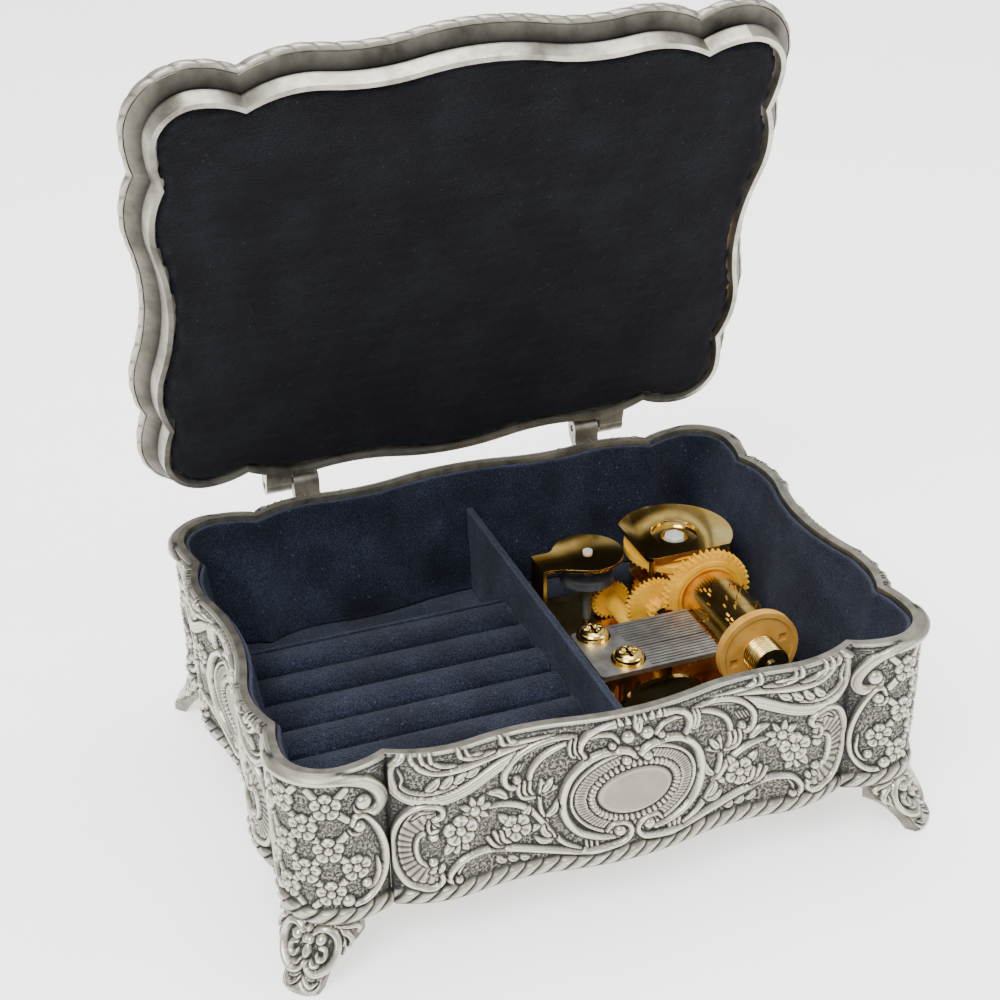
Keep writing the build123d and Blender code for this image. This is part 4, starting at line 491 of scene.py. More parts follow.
lower_c = [(8.7, 34.6), (9.4, 36.2), (11.0, 36.0), (12.9, 33.4), (14.3, 30.0), (15.1, 26.0), (14.8, 22.0),
           (13.2, 18.8), (10.8, 16.8), (8.6, 16.4)]
stroke(corner_wall, lower_c, 1.25, 1.35, 0.6, 0.7, ((-0.3, 0.14),))
stroke(corner_wall, [(8.0, 33.6), (8.9, 32.5), (10.6, 32.4)], 0.6, 0.9, 0.5, 0.6)
ball(corner_wall, (10.1, 33.9), 1.1, 1.4)
ball(corner_wall, (7.3, 17.6), 1.2, 1.4)
curl = [(13.3, 25.4), (13.6, 22.4), (12.7, 20.2), (11.2, 19.3), (10.4, 20.4)]
stroke(corner_wall, curl, 0.8, 1.0, 0.4, 0.7)
ball(corner_wall, (11.0, 20.4), 0.95, 1.2)


def outline_at(node, plane_point, plane_normal):
    """The outer edge of a casting where a plane cuts it, anticlockwise, as points in millimetres."""
    cut = bmesh.new()
    cut.from_mesh(nodes[node].data)
    bmesh.ops.remove_doubles(cut, verts=cut.verts, dist=0.000001)
    everything = cut.verts[:] + cut.edges[:] + cut.faces[:]
    made = bmesh.ops.bisect_plane(cut, geom=everything, plane_co=plane_point, plane_no=plane_normal)
    ways = {}
    for edge in made["geom_cut"]:
        if isinstance(edge, bmesh.types.BMEdge):
            a, b = (tuple(round(c * 1000, 3) for c in vert.co) for vert in edge.verts)
            if a != b:
                ways.setdefault(a, set()).add(b)
                ways.setdefault(b, set()).add(a)
    cut.free()
    here = min(ways, key=lambda p: (p[1], p[2], p[0]))
    loop = [here]
    while True:
        onward = [p for p in ways[here] if p not in loop[-2:]]
        here = max(onward, key=lambda p: p[0]) if len(loop) == 1 else onward[0]
        if here == loop[0] or here in loop:
            return np.array(loop)
        loop.append(here)


def evenly(line, count):
    """Count + 1 places at equal distances along a line, with the outward normal at each."""
    steps = np.hypot(*np.diff(line[:, :2], axis=0).T)
    travelled = np.concatenate([[0], np.cumsum(steps)])
    wanted = np.linspace(0, travelled[-1], count + 1)
    x, y = (np.interp(wanted, travelled, line[:, k]) for k in (0, 1))
    kernel = np.hanning(9) / np.hanning(9).sum()
    tangent = np.stack([np.gradient(x), np.gradient(y)], 1)
    padded = np.pad(tangent, ((4, 4), (0, 0)), mode="edge")
    tangent = np.stack([np.convolve(padded[:, k], kernel, "valid") for k in (0, 1)], 1)
    tangent /= np.linalg.norm(tangent, axis=1)[:, None]
    return np.stack([x, y], 1), np.stack([tangent[:, 1], -tangent[:, 0]], 1), wanted


def blurred(heights, reach):
    """Heights averaged over a square of this many points each way."""
    weights = np.ones(2 * reach + 1) / (2 * reach + 1)
    for axis in (0, 1):
        wide = np.pad(heights, [(reach, reach) if k == axis else (0, 0) for k in (0, 1)], mode="edge")
        heights = np.apply_along_axis(lambda line: np.convolve(line, weights, "valid"), axis, wide)
    return heights


def skin(name, places, heights, body, material, slot, wash_and_shade=0.0, seam=False):
    """A carved skin: a grid whose points go to these places in millimetres.

    Merged where it meets itself at a seam, worn by how proud each point stands, less its wash and painted
    shade.
    """
    rows, columns = heights.shape
    bpy.ops.object.select_all(action="DESELECT")
    bpy.ops.mesh.primitive_grid_add(x_subdivisions=columns - 1, y_subdivisions=rows - 1, size=1)
    piece = bpy.context.object
    piece.name = name
    piece.data.vertices.foreach_set("co", (places / 1000).reshape(-1))
    proud = heights - blurred(heights, 3)
    relief = 0.42 * np.clip(heights / 1.1, 0, 1) + np.clip(0.9 * proud / 0.4, -0.5, 0.4)
    # The wash and painted shade handed in are taken off what the relief leaves.
    rub_and_shade = np.clip(0.2 + relief - wash_and_shade, 0, 1)
    piece.data.attributes.new("rubbed_and_shaded", "FLOAT", "POINT").data.foreach_set("value", rub_and_shade.reshape(-1))
    piece.data.update()
    if seam:
        bpy.ops.object.mode_set(mode="EDIT")
        bpy.ops.mesh.select_all(action="SELECT")
        bpy.ops.mesh.remove_doubles(threshold=0.000002)
        bpy.ops.object.mode_set(mode="OBJECT")
    bpy.ops.object.shade_smooth()
    piece.data.materials.append(material)
    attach(piece, body)
    return piece


# Carved metal: satin plate where it was rubbed back, black wash left in the hollows, painted shade
# in the concave corners by the cusps, with a 0.25 mm cast grit and clouds of patina 5 mm across.
carved_pewter, tree, shader, place = new_material("antiqued cast pewter, carved")
rubbed_and_shaded = add(tree, "ShaderNodeAttribute", attribute_name="rubbed_and_shaded").outputs["Fac"]
cloud = add(tree, "ShaderNodeTexNoise", [("Vector", place)], Scale=200.0, Detail=5.0, Roughness=0.6)
worn_and_shaded = add(tree, "ShaderNodeMath", [(0, cloud.outputs["Fac"]), (2, rubbed_and_shaded)], operation="MULTIPLY_ADD")
worn_and_shaded.inputs[1].default_value = 0.22
colour = add(
    tree, "ShaderNodeValToRGB", [("Fac", worn_and_shaded.outputs["Value"])],
    ((0.08, "#1F1F20"), (0.3, "#4B4944"), (0.55, "#7E7A6F"), (0.8, "#A39E91"), (1.0, "#BFBAAD")),
)
tree.links.new(colour.outputs["Color"], shader.inputs["Base Color"])
grit = add(tree, "ShaderNodeTexNoise", [("Vector", place)], Scale=4000.0, Detail=2.0)
bump = add(tree, "ShaderNodeBump", [("Height", grit.outputs["Fac"])], Strength=0.15, Distance=0.0001)
tree.links.new(bump.outputs["Normal"], shader.inputs["Normal"])
for socket, low, high in (("Roughness", 0.6, 0.33), ("Metallic", 0.5, 0.9)):
    level = add(tree, "ShaderNodeMapRange", [("Value", worn_and_shaded.outputs["Value"])])
    level.inputs["To Min"].default_value = low
    level.inputs["To Max"].default_value = high
    tree.links.new(level.outputs["Result"], shader.inputs[socket])

ROPE_PITCH = 3.4
ROPE_TOP = 16.05
# How far the casting's wall stands out at each height, as (height, distance) in millimetres.
WALL_SECTION = ((12.3, 1.0), (13.0, 1.65), (15.4, 1.65), (16.1, 1.0), (30, 1.35), (44.4, 1.25),
                (45.0, 2.05), (46.0, 2.05), (46.6, 1.45))
# Each skin is tucked in at its two edges, at these heights and this far out from the wall's own face.
TUCK_TOP = (46.55, 0.9)
TUCK_FOOT = (12.32, 0.3)


def rope(travelled, share):
    """Slanting lobes of a rope border: share goes from its lower edge at 0 to its upper edge at 1."""
    share = np.clip(share, 0, 1)
    phase = travelled / ROPE_PITCH - 1.12 * share**0.8
    across = phase - np.floor(phase)
    lobe = np.sqrt(np.clip(1 - np.abs(2 * across - 1) ** 1.9, 0, 1))
    tip = np.sqrt(np.clip(1 - (np.clip(share - 0.6, 0, 1) / 0.4) ** 2, 0, 1))
    root = 0.55 + 0.45 * np.clip(share / 0.3, 0, 1)
    return 0.95 * lobe * tip * root


outline = outline_at("box_body", (0, 0, 0.03), (0, 0, 1))
headings = np.diff(np.vstack([outline[-1:], outline, outline[:1]])[:, :2], axis=0)
angles = np.arctan2(headings[:, 1], headings[:, 0])
turns = (np.diff(angles) + math.pi) % (2 * math.pi) - math.pi
cusps = np.flatnonzero(turns < -math.radians(20))
# The outline is cut at a height of 30 mm, where the wall stands out by this much.
CUT_AT = 1.35
section = np.array(WALL_SECTION)
travelled_before = 0.0
for number, first in enumerate(cusps):
    last = cusps[(number + 1) % len(cusps)]
    if last > first:
        between = outline[first : last + 1]
    else:
        between = np.vstack([outline[first:], outline[: last + 1]])
    line = rounded_line(between[:, :2], 0.1)
    middle = line[len(line) // 2]
    if abs(middle[0]) < 20:
        name, wall = ("front_carving" if middle[1] < 0 else "back_carving"), long_wall
    elif abs(middle[1]) < 20:
        name, wall = ("right_carving" if middle[0] > 0 else "left_carving"), short_wall
    else:
        side = "front" if middle[1] < 0 else "back"
        name, wall = f"{side}_{'right' if middle[0] > 0 else 'left'}_corner_carving", corner_wall
    heights = np.hstack([wall.height[:, :5:-1], wall.height[:, 5:]])
    up = wall.up[:, :1]
    spots, normals, travelled = evenly(line, heights.shape[1] - 1)
    to_cusp = np.minimum(travelled, travelled[-1] - travelled)[None, :]
    rope_share = (up - 12.7) / (ROPE_TOP - 12.7)
    roped = rope(travelled[None, :] + travelled_before, rope_share)
    roped = np.where(up < 12.75, 0.55, roped)
    heights = np.where(up < ROPE_TOP, np.maximum(roped, np.where(heights > 0.7, heights, 0)), heights)
    heights = np.where(up > 46.2, np.maximum(heights, 0.55), heights)
    heights = heights * np.clip(to_cusp / 0.7, 0.1, 1)
    travelled_before += travelled[-1]
    out = np.interp(up, section[:, 0], section[:, 1]) + 0.05 + heights - CUT_AT
    flat = spots[None] + normals[None] * out[..., None]
    places = np.dstack([flat, np.broadcast_to(up, heights.shape)])
    tucked, under = (
        np.dstack([spots[None] + normals[None] * (reach - CUT_AT), np.full((1, heights.shape[1]), height)])
        for height, reach in (TUCK_TOP, TUCK_FOOT)
    )
    places = np.vstack([under, places, tucked])
    heights = np.vstack([heights[:1], heights, heights[-1:]])
    # Darker within about 2 mm of each cusp: painted shade in the concave corner between two lobes, over the
    # black wash that collects there.
    wash_and_shade = 0.4 * np.exp(-((to_cusp / 2.2) ** 2)) + 0 * heights
    skin(name, places, heights, "case", carved_pewter, "pewter", wash_and_shade)


# Plain parts of the castings: the rim, the inside lip and the feet's backs, satin where hands
# and cloths rub them.
def cast_pewter(name, dark, mid, bright):
    """Plain cast surface: cloudy patina about 4 mm across, and a sand-cast bump of 0.25 mm."""
    material, tree, shader, place = new_material(name)
    cloud = add(tree, "ShaderNodeTexNoise", [("Vector", place)], Scale=240.0, Detail=5.0, Roughness=0.6)
    stops = ((0.3, dark), (0.52, mid), (0.75, bright))
    colour = add(tree, "ShaderNodeValToRGB", [("Fac", cloud.outputs["Fac"])], stops)
    tree.links.new(colour.outputs["Color"], shader.inputs["Base Color"])
    grit = add(tree, "ShaderNodeTexNoise", [("Vector", place)], Scale=4000.0, Detail=2.0)
    bump = add(tree, "ShaderNodeBump", [("Height", grit.outputs["Fac"])], Strength=0.12, Distance=0.0001)
    tree.links.new(bump.outputs["Normal"], shader.inputs["Normal"])
    shader.inputs["Metallic"].default_value = 0.9
    shader.inputs["Roughness"].default_value = 0.42
    return material


dress(cast_pewter("antiqued cast pewter, plain", "#6A6860", "#8E8A7F", "#ABA699"), "box_body")

# Feet: cast with the box as four bracket feet, each with a pair of C scrolls round a bud, three
# curled leaves on either side and a rounded toe.
# How far the foot stands out from its corner's own axis, as (height, distance) in millimetres.
FOOT_SECTION = ((0.0, 15.1), (1.0, 15.07), (2.0, 14.27), (4.0, 12.85), (6.0, 11.64), (8.0, 10.6),
                (10.0, 9.73), (12.3, 8.9))
FOOT_AXIS = (55.5, 39.1)
foot_wall = Wall(9.6, 0.1, 12.3)
half_width = np.interp(foot_wall.up, (0, 2.9, 6.0, 8.8, 12.3), (3.2, 3.9, 5.3, 7.6, 7.8))
ground = bark(foot_wall.height.shape, 31) + 0.05
foot_wall.height = np.where(np.abs(foot_wall.along) < half_width, ground, -1.0)
toe = np.hypot(foot_wall.along / 3.9, (foot_wall.up - 2.2) / 2.6)
foot_wall.height = np.where(toe < 1, 0.35 + 0.45 * np.sqrt(np.clip(1 - toe**4, 0, 1)), foot_wall.height)
stroke(foot_wall, [(0.2, 3.9), (0.5, 2.6), (1.9, 1.6), (3.3, 2.4)], 0.5, 1.0, 0.6, 0.4)
leaf(foot_wall, (0.6, 3.4), (2.6, 2.7), 1.4, 1.05, 0.1)
top_leaf = [(1.0, 12.0), (4.5, 11.8), (7.4, 11.7), (8.8, 11.2), (8.6, 10.5)]
stroke(foot_wall, top_leaf, 1.0, 1.2, 0.6, 0.8, ((0.0, 0.1),))
stroke(foot_wall, [(4.2, 11.3), (6.3, 10.6), (7.6, 9.5), (7.7, 8.5), (7.0, 8.4)], 1.1, 1.2, 0.6, 0.8,
       ((0.0, 0.1),))
stroke(foot_wall, [(5.0, 10.3), (6.2, 9.0), (6.5, 7.6), (5.9, 6.8)], 1.1, 1.15, 0.6, 0.7, ((0.0, 0.1),))
c_scroll = [(0.9, 9.6), (1.3, 11.0), (2.8, 11.6), (4.4, 10.8), (5.4, 8.9), (5.4, 6.8), (4.4, 4.9), (2.6, 3.9),
            (1.0, 4.2), (0.3, 5.3)]
stroke(foot_wall, c_scroll, 1.35, 1.5, 0.6, 0.9, ((0.3, 0.14),))
stroke(foot_wall, [(0.9, 5.6), (1.5, 4.9), (2.6, 5.0)], 0.7, 1.2, 0.6, 0.6)
ball(foot_wall, (2.3, 9.5), 1.0, 1.5)
stroke(foot_wall, [(2.2, 8.0), (3.4, 7.6), (3.4, 6.2), (2.3, 5.9), (1.9, 6.7)], 0.8, 1.1, 0.7, 0.7)
ball(foot_wall, (0.3, 9.2), 0.85, 1.5)
ball(foot_wall, (0.0, 11.3), 0.65, 1.5)
leaf(foot_wall, (0.0, 6.0), (0.0, 8.6), 1.6, 1.3)
heights = np.hstack([foot_wall.height[:, :5:-1], foot_wall.height[:, 5:]])
across = (np.arange(heights.shape[1]) - heights.shape[1] // 2) * GRID
up = foot_wall.up[:, :1]
profile = np.array(FOOT_SECTION)
out = np.interp(up, profile[:, 0], profile[:, 1]) + np.where(heights > 0, heights + 0.05, -0.8)
# The backs of the leaves that stand clear of the bracket are closed this far behind their fronts.
CARVING_BACK = 0.0009
for side, x_sign in (("left", -1), ("right", 1)):
    for end, y_sign in (("front", -1), ("back", 1)):
        middle = math.atan2(y_sign, x_sign)
        bearing = middle + across[None, :] / np.interp(up, profile[:, 0], profile[:, 1])
        places = np.dstack([
            x_sign * FOOT_AXIS[0] + out * np.cos(bearing),
            y_sign * FOOT_AXIS[1] + out * np.sin(bearing),
            np.broadcast_to(up, heights.shape),
        ])
        piece = skin(f"{end}_{side}_foot_carving", places, heights, "case", carved_pewter, "pewter")
        form = bmesh.new()
        form.from_mesh(piece.data)
        form.verts.ensure_lookup_table()
        bare = heights.reshape(-1) < 0
        empty = [face for face in form.faces if all(bare[vert.index] for vert in face.verts)]
        bmesh.ops.delete(form, geom=empty, context="FACES")
        form.to_mesh(piece.data)
        form.free()
        back = piece.modifiers.new("closed_back", "SOLIDIFY")
        back.thickness = CARVING_BACK
        pick(piece)
        bpy.ops.object.modifier_apply(modifier=back.name)
feet = ("foot_front_left", "foot_front_right", "foot_back_left", "foot_back_right")
dress(cast_pewter("antiqued cast pewter, foot", "#55534D", "#77736A", "#969184"), *feet)

# Bottom plate and its four screws: dark lacquered sheet steel under the box, held by small
# steel screws in the ledge.
lacquer, tree, shader, place = new_material("black lacquered sheet steel")
peel = add(tree, "ShaderNodeTexNoise", [("Vector", place)], Scale=900.0, Detail=3.0)
colour = add(tree, "ShaderNodeValToRGB", [("Fac", peel.outputs["Fac"])], ((0.3, "#161617"), (0.7, "#232325")))
tree.links.new(colour.outputs["Color"], shader.inputs["Base Color"])
bump = add(tree, "ShaderNodeBump", [("Height", peel.outputs["Fac"])], Strength=0.15, Distance=0.0002)
tree.links.new(bump.outputs["Normal"], shader.inputs["Normal"])
shader.inputs["Roughness"].default_value = 0.4
shader.inputs["Coat Weight"].default_value = 0.3
dress(lacquer, "bottom_plate")


def metal(name, dark, bright, roughness, spots, brushed="all", depth=0.06):
    """Machined or plated metal: its tone wavers over spots across, with 0.1 mm brush lines along one axis."""
    material, tree, shader, place = new_material(name)
    waver = add(tree, "ShaderNodeTexNoise", [("Vector", place)], Scale=1 / spots, Detail=4.0)
    colour = add(tree, "ShaderNodeValToRGB", [("Fac", waver.outputs["Fac"])], ((0.35, dark), (0.7, bright)))
    tree.links.new(colour.outputs["Color"], shader.inputs["Base Color"])
    stretch = {"x": (400, 9000, 9000), "z": (9000, 9000, 400), "all": (5000, 5000, 5000)}
    turned = add(tree, "ShaderNodeMapping", [("Vector", place)], Scale=stretch[brushed])
    lines = add(tree, "ShaderNodeTexNoise", [("Vector", turned.outputs["Vector"])], Scale=1.0, Detail=2.0)
    bump = add(tree, "ShaderNodeBump", [("Height", lines.outputs["Fac"])], Strength=depth, Distance=0.0001)
    tree.links.new(bump.outputs["Normal"], shader.inputs["Normal"])
    rough = add(tree, "ShaderNodeMapRange", [("Value", lines.outputs["Fac"])])
    rough.inputs["To Min"].default_value = roughness * 0.75
    rough.inputs["To Max"].default_value = roughness * 1.25
    tree.links.new(rough.outputs["Result"], shader.inputs["Roughness"])
    shader.inputs["Metallic"].default_value = 1.0
    return material


dress(
    metal("turned steel", "#8E8F91", "#B8B9BA", 0.28, 0.004),
    "bottom_screws", "hinge_pin_left", "hinge_pin_right", "movement_screws", "cylinder_shaft",
    "intermediate_shaft", "worm_wheel_shaft", "winding_arbor", "ratchet_wheel", "click_pawl", "mainspring",
)


# Velvet linings: the walls, floor, divider and ring tray are card or foam wrapped in navy velvet,
# whose pile turns lighter where it is seen edge on, with painted sheen on its convex bends as well.
def velvet_cloth(name, dark, mid, light, lint_and_sheen, sheen):
    """Velvet: its tone wavers over 12 mm, with a 0.3 mm nap, lint 3 mm apart and painted sheen on convex
    bends.
    """
    material, tree, shader, place = new_material(name)
    sweep = add(tree, "ShaderNodeTexNoise", [("Vector", place)], Scale=85.0, Detail=3.0, Roughness=0.5)
    pile = add(tree, "ShaderNodeTexNoise", [("Vector", place)], Scale=3400.0, Detail=3.0, Roughness=0.7)
    both = add(
        tree, "ShaderNodeMath", [(0, pile.outputs["Fac"]), (2, sweep.outputs["Fac"])],
        operation="MULTIPLY_ADD",
    )
    both.inputs[1].default_value = 2.2
    level = add(tree, "ShaderNodeMapRange", [("Value", both.outputs["Value"])])
    level.inputs["From Min"].default_value = 1.1
    level.inputs["From Max"].default_value = 2.1
    stops = ((0.1, dark), (0.5, mid), (0.95, light))
    colour = add(tree, "ShaderNodeValToRGB", [("Fac", level.outputs["Result"])], stops)
    lint = add(tree, "ShaderNodeTexVoronoi", [("Vector", place)], Scale=330.0)
    speck = add(tree, "ShaderNodeMapRange", [("Value", lint.outputs["Distance"])])
    speck.inputs["From Min"].default_value = 0.11
    speck.inputs["From Max"].default_value = 0.05
    speck.inputs["To Max"].default_value = 0.4
    # Painted sheen: convex bends and slit edges, marked by the piece's edge attribute, are painted towards
    # the pale colour, as the lint specks are.
    edge_sheen = add(tree, "ShaderNodeAttribute", attribute_name="edge_sheen").outputs["Fac"]
    most = add(tree, "ShaderNodeMath", [(0, speck.outputs["Result"]), (1, edge_sheen)], operation="MAXIMUM")
    mixed = add(
        tree, "ShaderNodeMix", [("Factor", most.outputs["Value"]), ("A", colour.outputs["Color"])],
        data_type="RGBA",
    )
    mixed.inputs["B"].default_value = linear(lint_and_sheen)
    tree.links.new(mixed.outputs["Result"], shader.inputs["Base Color"])
    bump = add(tree, "ShaderNodeBump", [("Height", both.outputs["Value"])], Strength=0.9, Distance=0.0003)
    tree.links.new(bump.outputs["Normal"], shader.inputs["Normal"])
    shader.inputs["Roughness"].default_value = 0.95
    shader.inputs["Specular IOR Level"].default_value = 0.1
    shader.inputs["Sheen Weight"].default_value = sheen
    shader.inputs["Sheen Roughness"].default_value = 0.4
    shader.inputs["Sheen Tint"].default_value = linear("#A4A8B8")
    return material


box_velvet = velvet_cloth("navy cotton velvet", "#0A0C13", "#191D2A", "#3B4154", "#60677D", 0.23)
# The lid's panel is the same velvet in painted shade: its colours are painted much darker for the lid's inner
# face, with less sheen.
lid_velvet_in_painted_shade = velvet_cloth("navy cotton velvet, in painted shade", "#060607", "#0D0D10", "#1D1E23", "#3C3E46", 0.08)


def copy_of(node, name):
    """A merged copy of a CAD solid's mesh as a new piece in the same place."""
    mesh = nodes[node].data.copy()
    piece = bpy.data.objects.new(name, mesh)
    bpy.context.scene.collection.objects.link(piece)
    mesh.materials.clear()
    pick(piece)
    bpy.ops.object.mode_set(mode="EDIT")
    bpy.ops.mesh.select_all(action="SELECT")
    bpy.ops.mesh.remove_doubles(threshold=0.00001)
    bpy.ops.mesh.normals_make_consistent(inside=False)
    bpy.ops.object.mode_set(mode="OBJECT")
    return piece


def apply_all(piece):
    pick(piece)
    for modifier in list(piece.modifiers):
        bpy.ops.object.modifier_apply(modifier=modifier.name)


NAP = 0.00008
# Pads are blown up as ten times larger ones, because cloth this small is too stiff to settle.
SIM_SCALE = 10.0
SIM_FRAMES = 20


def vertices_of(piece):
    places = np.empty(len(piece.data.vertices) * 3)
    piece.data.vertices.foreach_get("co", places)
    return places.reshape(-1, 3)


def normals_of(piece):
    normals = np.empty(len(piece.data.vertices) * 3)
    piece.data.vertices.foreach_get("normal", normals)
    return normals.reshape(-1, 3)


def blown_up(piece, upward, cap):
    """Fills a pad with pressure under its cloth. It only swells towards upward, and by the cap at most."""
    resting = vertices_of(piece)
    centre = resting.mean(axis=0)
    big = piece.copy()
    big.data = piece.data.copy()
    bpy.context.scene.collection.objects.link(big)
    big.data.vertices.foreach_set("co", ((resting - centre) * SIM_SCALE).ravel())
    big.data.update()
    cloth = big.modifiers.new("filling", "CLOTH")
    cloth.settings.quality = 4
    cloth.settings.mass = 0.3
    cloth.settings.tension_stiffness = 12
    cloth.settings.compression_stiffness = 12
    cloth.settings.bending_stiffness = 0.4
    cloth.settings.use_pressure = True
    cloth.settings.uniform_pressure_force = 4.0
    cloth.settings.effector_weights.gravity = 0
    cloth.point_cache.frame_start = 1
    cloth.point_cache.frame_end = SIM_FRAMES
    for step in range(1, SIM_FRAMES + 1):
        bpy.context.scene.frame_set(step)
    settled = big.evaluated_get(bpy.context.evaluated_depsgraph_get())
    moved = np.array([vert.co for vert in settled.data.vertices]) / SIM_SCALE + centre - resting
    bpy.context.scene.frame_set(1)
    bpy.data.objects.remove(big)
    swell = np.clip(moved @ np.array(upward), 0, cap) * np.clip(normals_of(piece) @ np.array(upward), 0, 1)
    piece.data.vertices.foreach_set("co", (resting + swell[:, None] * np.array(upward)).ravel())
    piece.data.update()


def wrapped_in_velvet(node, name, voxel, soften, body="case", cloth=box_velvet, upward=None, cap=0.0):
    """Even, soft-edged velvet over a CAD solid: remeshed, smoothed, swollen if it is a pad, and napped."""
    piece = copy_of(node, name)
    remesh = piece.modifiers.new("even_mesh", "REMESH")
    remesh.mode = "VOXEL"
    remesh.voxel_size = voxel
    remesh.use_smooth_shade = True
    smooth = piece.modifiers.new("soft_edges", "SMOOTH")
    smooth.iterations = soften
    smooth.factor = 0.5
    apply_all(piece)
    if upward:
        blown_up(piece, upward, cap)
    places = vertices_of(piece)
    normals = normals_of(piece)
    rounder = piece.modifiers.new("rounder", "SMOOTH")
    rounder.iterations = 9
    rounder.factor = 0.5
    apply_all(piece)
    # Painted sheen: how far each point stood proud of the rounder surface, on convex bends and edges, sets
    # how much pale colour is painted there.
    proud = ((places - vertices_of(piece)) * normals).sum(axis=1)
    edge_sheen = np.clip(proud / voxel - 0.12, 0, 0.5) * 1.1
    piece.data.attributes.new("edge_sheen", "FLOAT", "POINT").data.foreach_set("value", edge_sheen)
    lift = np.random.default_rng(len(name)).uniform(-NAP, NAP, len(places))
    piece.data.vertices.foreach_set("co", (places + normals * lift[:, None]).ravel())
    piece.data.update()
    piece.data.materials.append(cloth)
    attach(piece, body)
    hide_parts(node)
    return piece


wrapped_in_velvet("wall_lining", "wall_velvet", 0.0007, 2)
wrapped_in_velvet("floor_lining", "floor_velvet", 0.0006, 2)
wrapped_in_velvet("divider", "divider_velvet", 0.0004, 3)
wrapped_in_velvet("roll_tray", "tray_velvet", 0.0006, 2)
for number in range(1, 8):
    cushion = f"ring_cushion_{number}"
    wrapped_in_velvet(f"ring_roll_{number}", cushion, 0.0005, 1, "case", box_velvet, (0, 0, 1), 0.0003)

# Lid: the same casting as the body, brushed bright along the smooth skirt that fits the box, with
# black left in the cove beside it, shallow scallops round its edge, and a padded velvet panel inside.
LID_TILT = math.radians(73)
LID_PLACE = Vector((0, 0.03554, 0.09933))
LID_UP = Vector((0, math.sin(LID_TILT), math.cos(LID_TILT)))
LID_BACK = Vector((0, math.cos(LID_TILT), -math.sin(LID_TILT)))
lid_pewter, tree, shader, place = new_material("antiqued cast pewter, brushed skirt")
climb = add(tree, "ShaderNodeVectorMath", [(0, place)], operation="DOT_PRODUCT")
climb.inputs[1].default_value = LID_UP
level = add(tree, "ShaderNodeMapRange", [("Value", climb.outputs["Value"])])
level.inputs["From Min"].default_value = LID_PLACE.dot(LID_UP)
level.inputs["From Max"].default_value = LID_PLACE.dot(LID_UP) + 0.01
bands = add(
    tree, "ShaderNodeValToRGB", [("Fac", level.outputs["Result"])],
    ((0.0, "#B9B4A8"), (0.3, "#A8A397"), (0.38, "#232220"), (0.45, "#302E2B"), (0.6, "#6E6A60"),
     (0.66, "#A39E91"), (0.84, "#8C887C"), (1.0, "#6E6B62")),
)
cloud = add(tree, "ShaderNodeTexNoise", [("Vector", place)], Scale=150.0, Detail=5.0, Roughness=0.6)
dirt = add(tree, "ShaderNodeValToRGB", [("Fac", cloud.outputs["Fac"])], ((0.3, "#77736B"), (0.62, "#FFFFFF")))
shaded = add(
    tree, "ShaderNodeMix", [("A", bands.outputs["Color"]), ("B", dirt.outputs["Color"])],
    data_type="RGBA", blend_type="MULTIPLY",
)
shaded.inputs["Factor"].default_value = 0.8
tree.links.new(shaded.outputs["Result"], shader.inputs["Base Color"])
turned = add(tree, "ShaderNodeMapping", [("Vector", place)], Scale=(300, 9000, 9000))
lines = add(tree, "ShaderNodeTexNoise", [("Vector", turned.outputs["Vector"])], Scale=1.0, Detail=2.0)
bump = add(tree, "ShaderNodeBump", [("Height", lines.outputs["Fac"])], Strength=0.2, Distance=0.0001)
tree.links.new(bump.outputs["Normal"], shader.inputs["Normal"])
shader.inputs["Metallic"].default_value = 0.9
shader.inputs["Roughness"].default_value = 0.34
dress(lid_pewter, "lid_shell")


def on_lid(across, back, rise):
    """Places in millimetres from distances measured on the lid: across, towards its back and outwards."""
    place = 1000 * np.array(LID_PLACE) + across[..., None] * np.array((1, 0, 0))
    return place + back[..., None] * np.array(LID_BACK) + rise[..., None] * np.array(LID_UP)


def lid_outline(height):
    """The outline of the lid's shell at a height in millimetres, as a closed line of (across, back)."""
    plane = LID_PLACE + LID_UP * (height / 1000)
    loop = outline_at("lid_shell", plane, LID_UP) - np.array(LID_PLACE) * 1000
    loop = np.stack([loop[:, 0], loop @ np.array(LID_BACK)], 1)
    return np.vstack([loop, loop[:1]])


# How far the lid's edge stands out at each height, as (height, distance) in millimetres.
LID_EDGE = ((6.05, 4.4), (6.7, 4.9), (8.2, 4.9), (8.5, 4.25))
EDGE_HEIGHT = 7.4
EDGE_OUT = 4.9
EDGE_POINTS = 1560
EDGE_ROWS = 13
SCALLOP_PITCH = 4.6
SCALLOP_RISE = 0.36
spots, normals, travelled = evenly(lid_outline(EDGE_HEIGHT), EDGE_POINTS)
climb_rows = np.linspace(LID_EDGE[0][0], LID_EDGE[-1][0], EDGE_ROWS)[:, None]
scallops = round(travelled[-1] / SCALLOP_PITCH)
share = (climb_rows - climb_rows[0]) / (climb_rows[-1] - climb_rows[0])
wave = np.abs(np.cos(math.pi * scallops * travelled[None, :] / travelled[-1] + 1.2 * share))
heights = 0.12 + SCALLOP_RISE * np.sqrt(wave) * np.sin(math.pi * np.clip(share, 0.02, 0.98)) ** 0.5
edge = np.array(LID_EDGE)
out = np.interp(climb_rows, edge[:, 0], edge[:, 1]) + 0.05 + heights - EDGE_OUT
flat = spots[None] + normals[None] * out[..., None]
places = on_lid(flat[..., 0], flat[..., 1], climb_rows + 0 * heights)
skin("lid_scalloped_edge", places, heights, "lid", carved_pewter, "pewter", -0.25, True)

# Lid's dome: carving cast on the outside, which shows from behind or with the lid shut. One quarter
# is drawn at two thirds of its size and mirrored: a cartouche, S scrolls and flowers on stippled ground.
DOME_SCALE = 1.5
DOME_MIDDLE = 28.7
# The dome's height at each share of the way out from its middle, as (share, height) in millimetres.
DOME_SECTION = ((0.0, 12.2), (0.6, 12.2), (0.84, 11.2), (1.0, 9.6))
# It is flat within the first share, and a rope border runs outside the second one.
DOME_FLAT = 0.6
DOME_RIM = 0.95
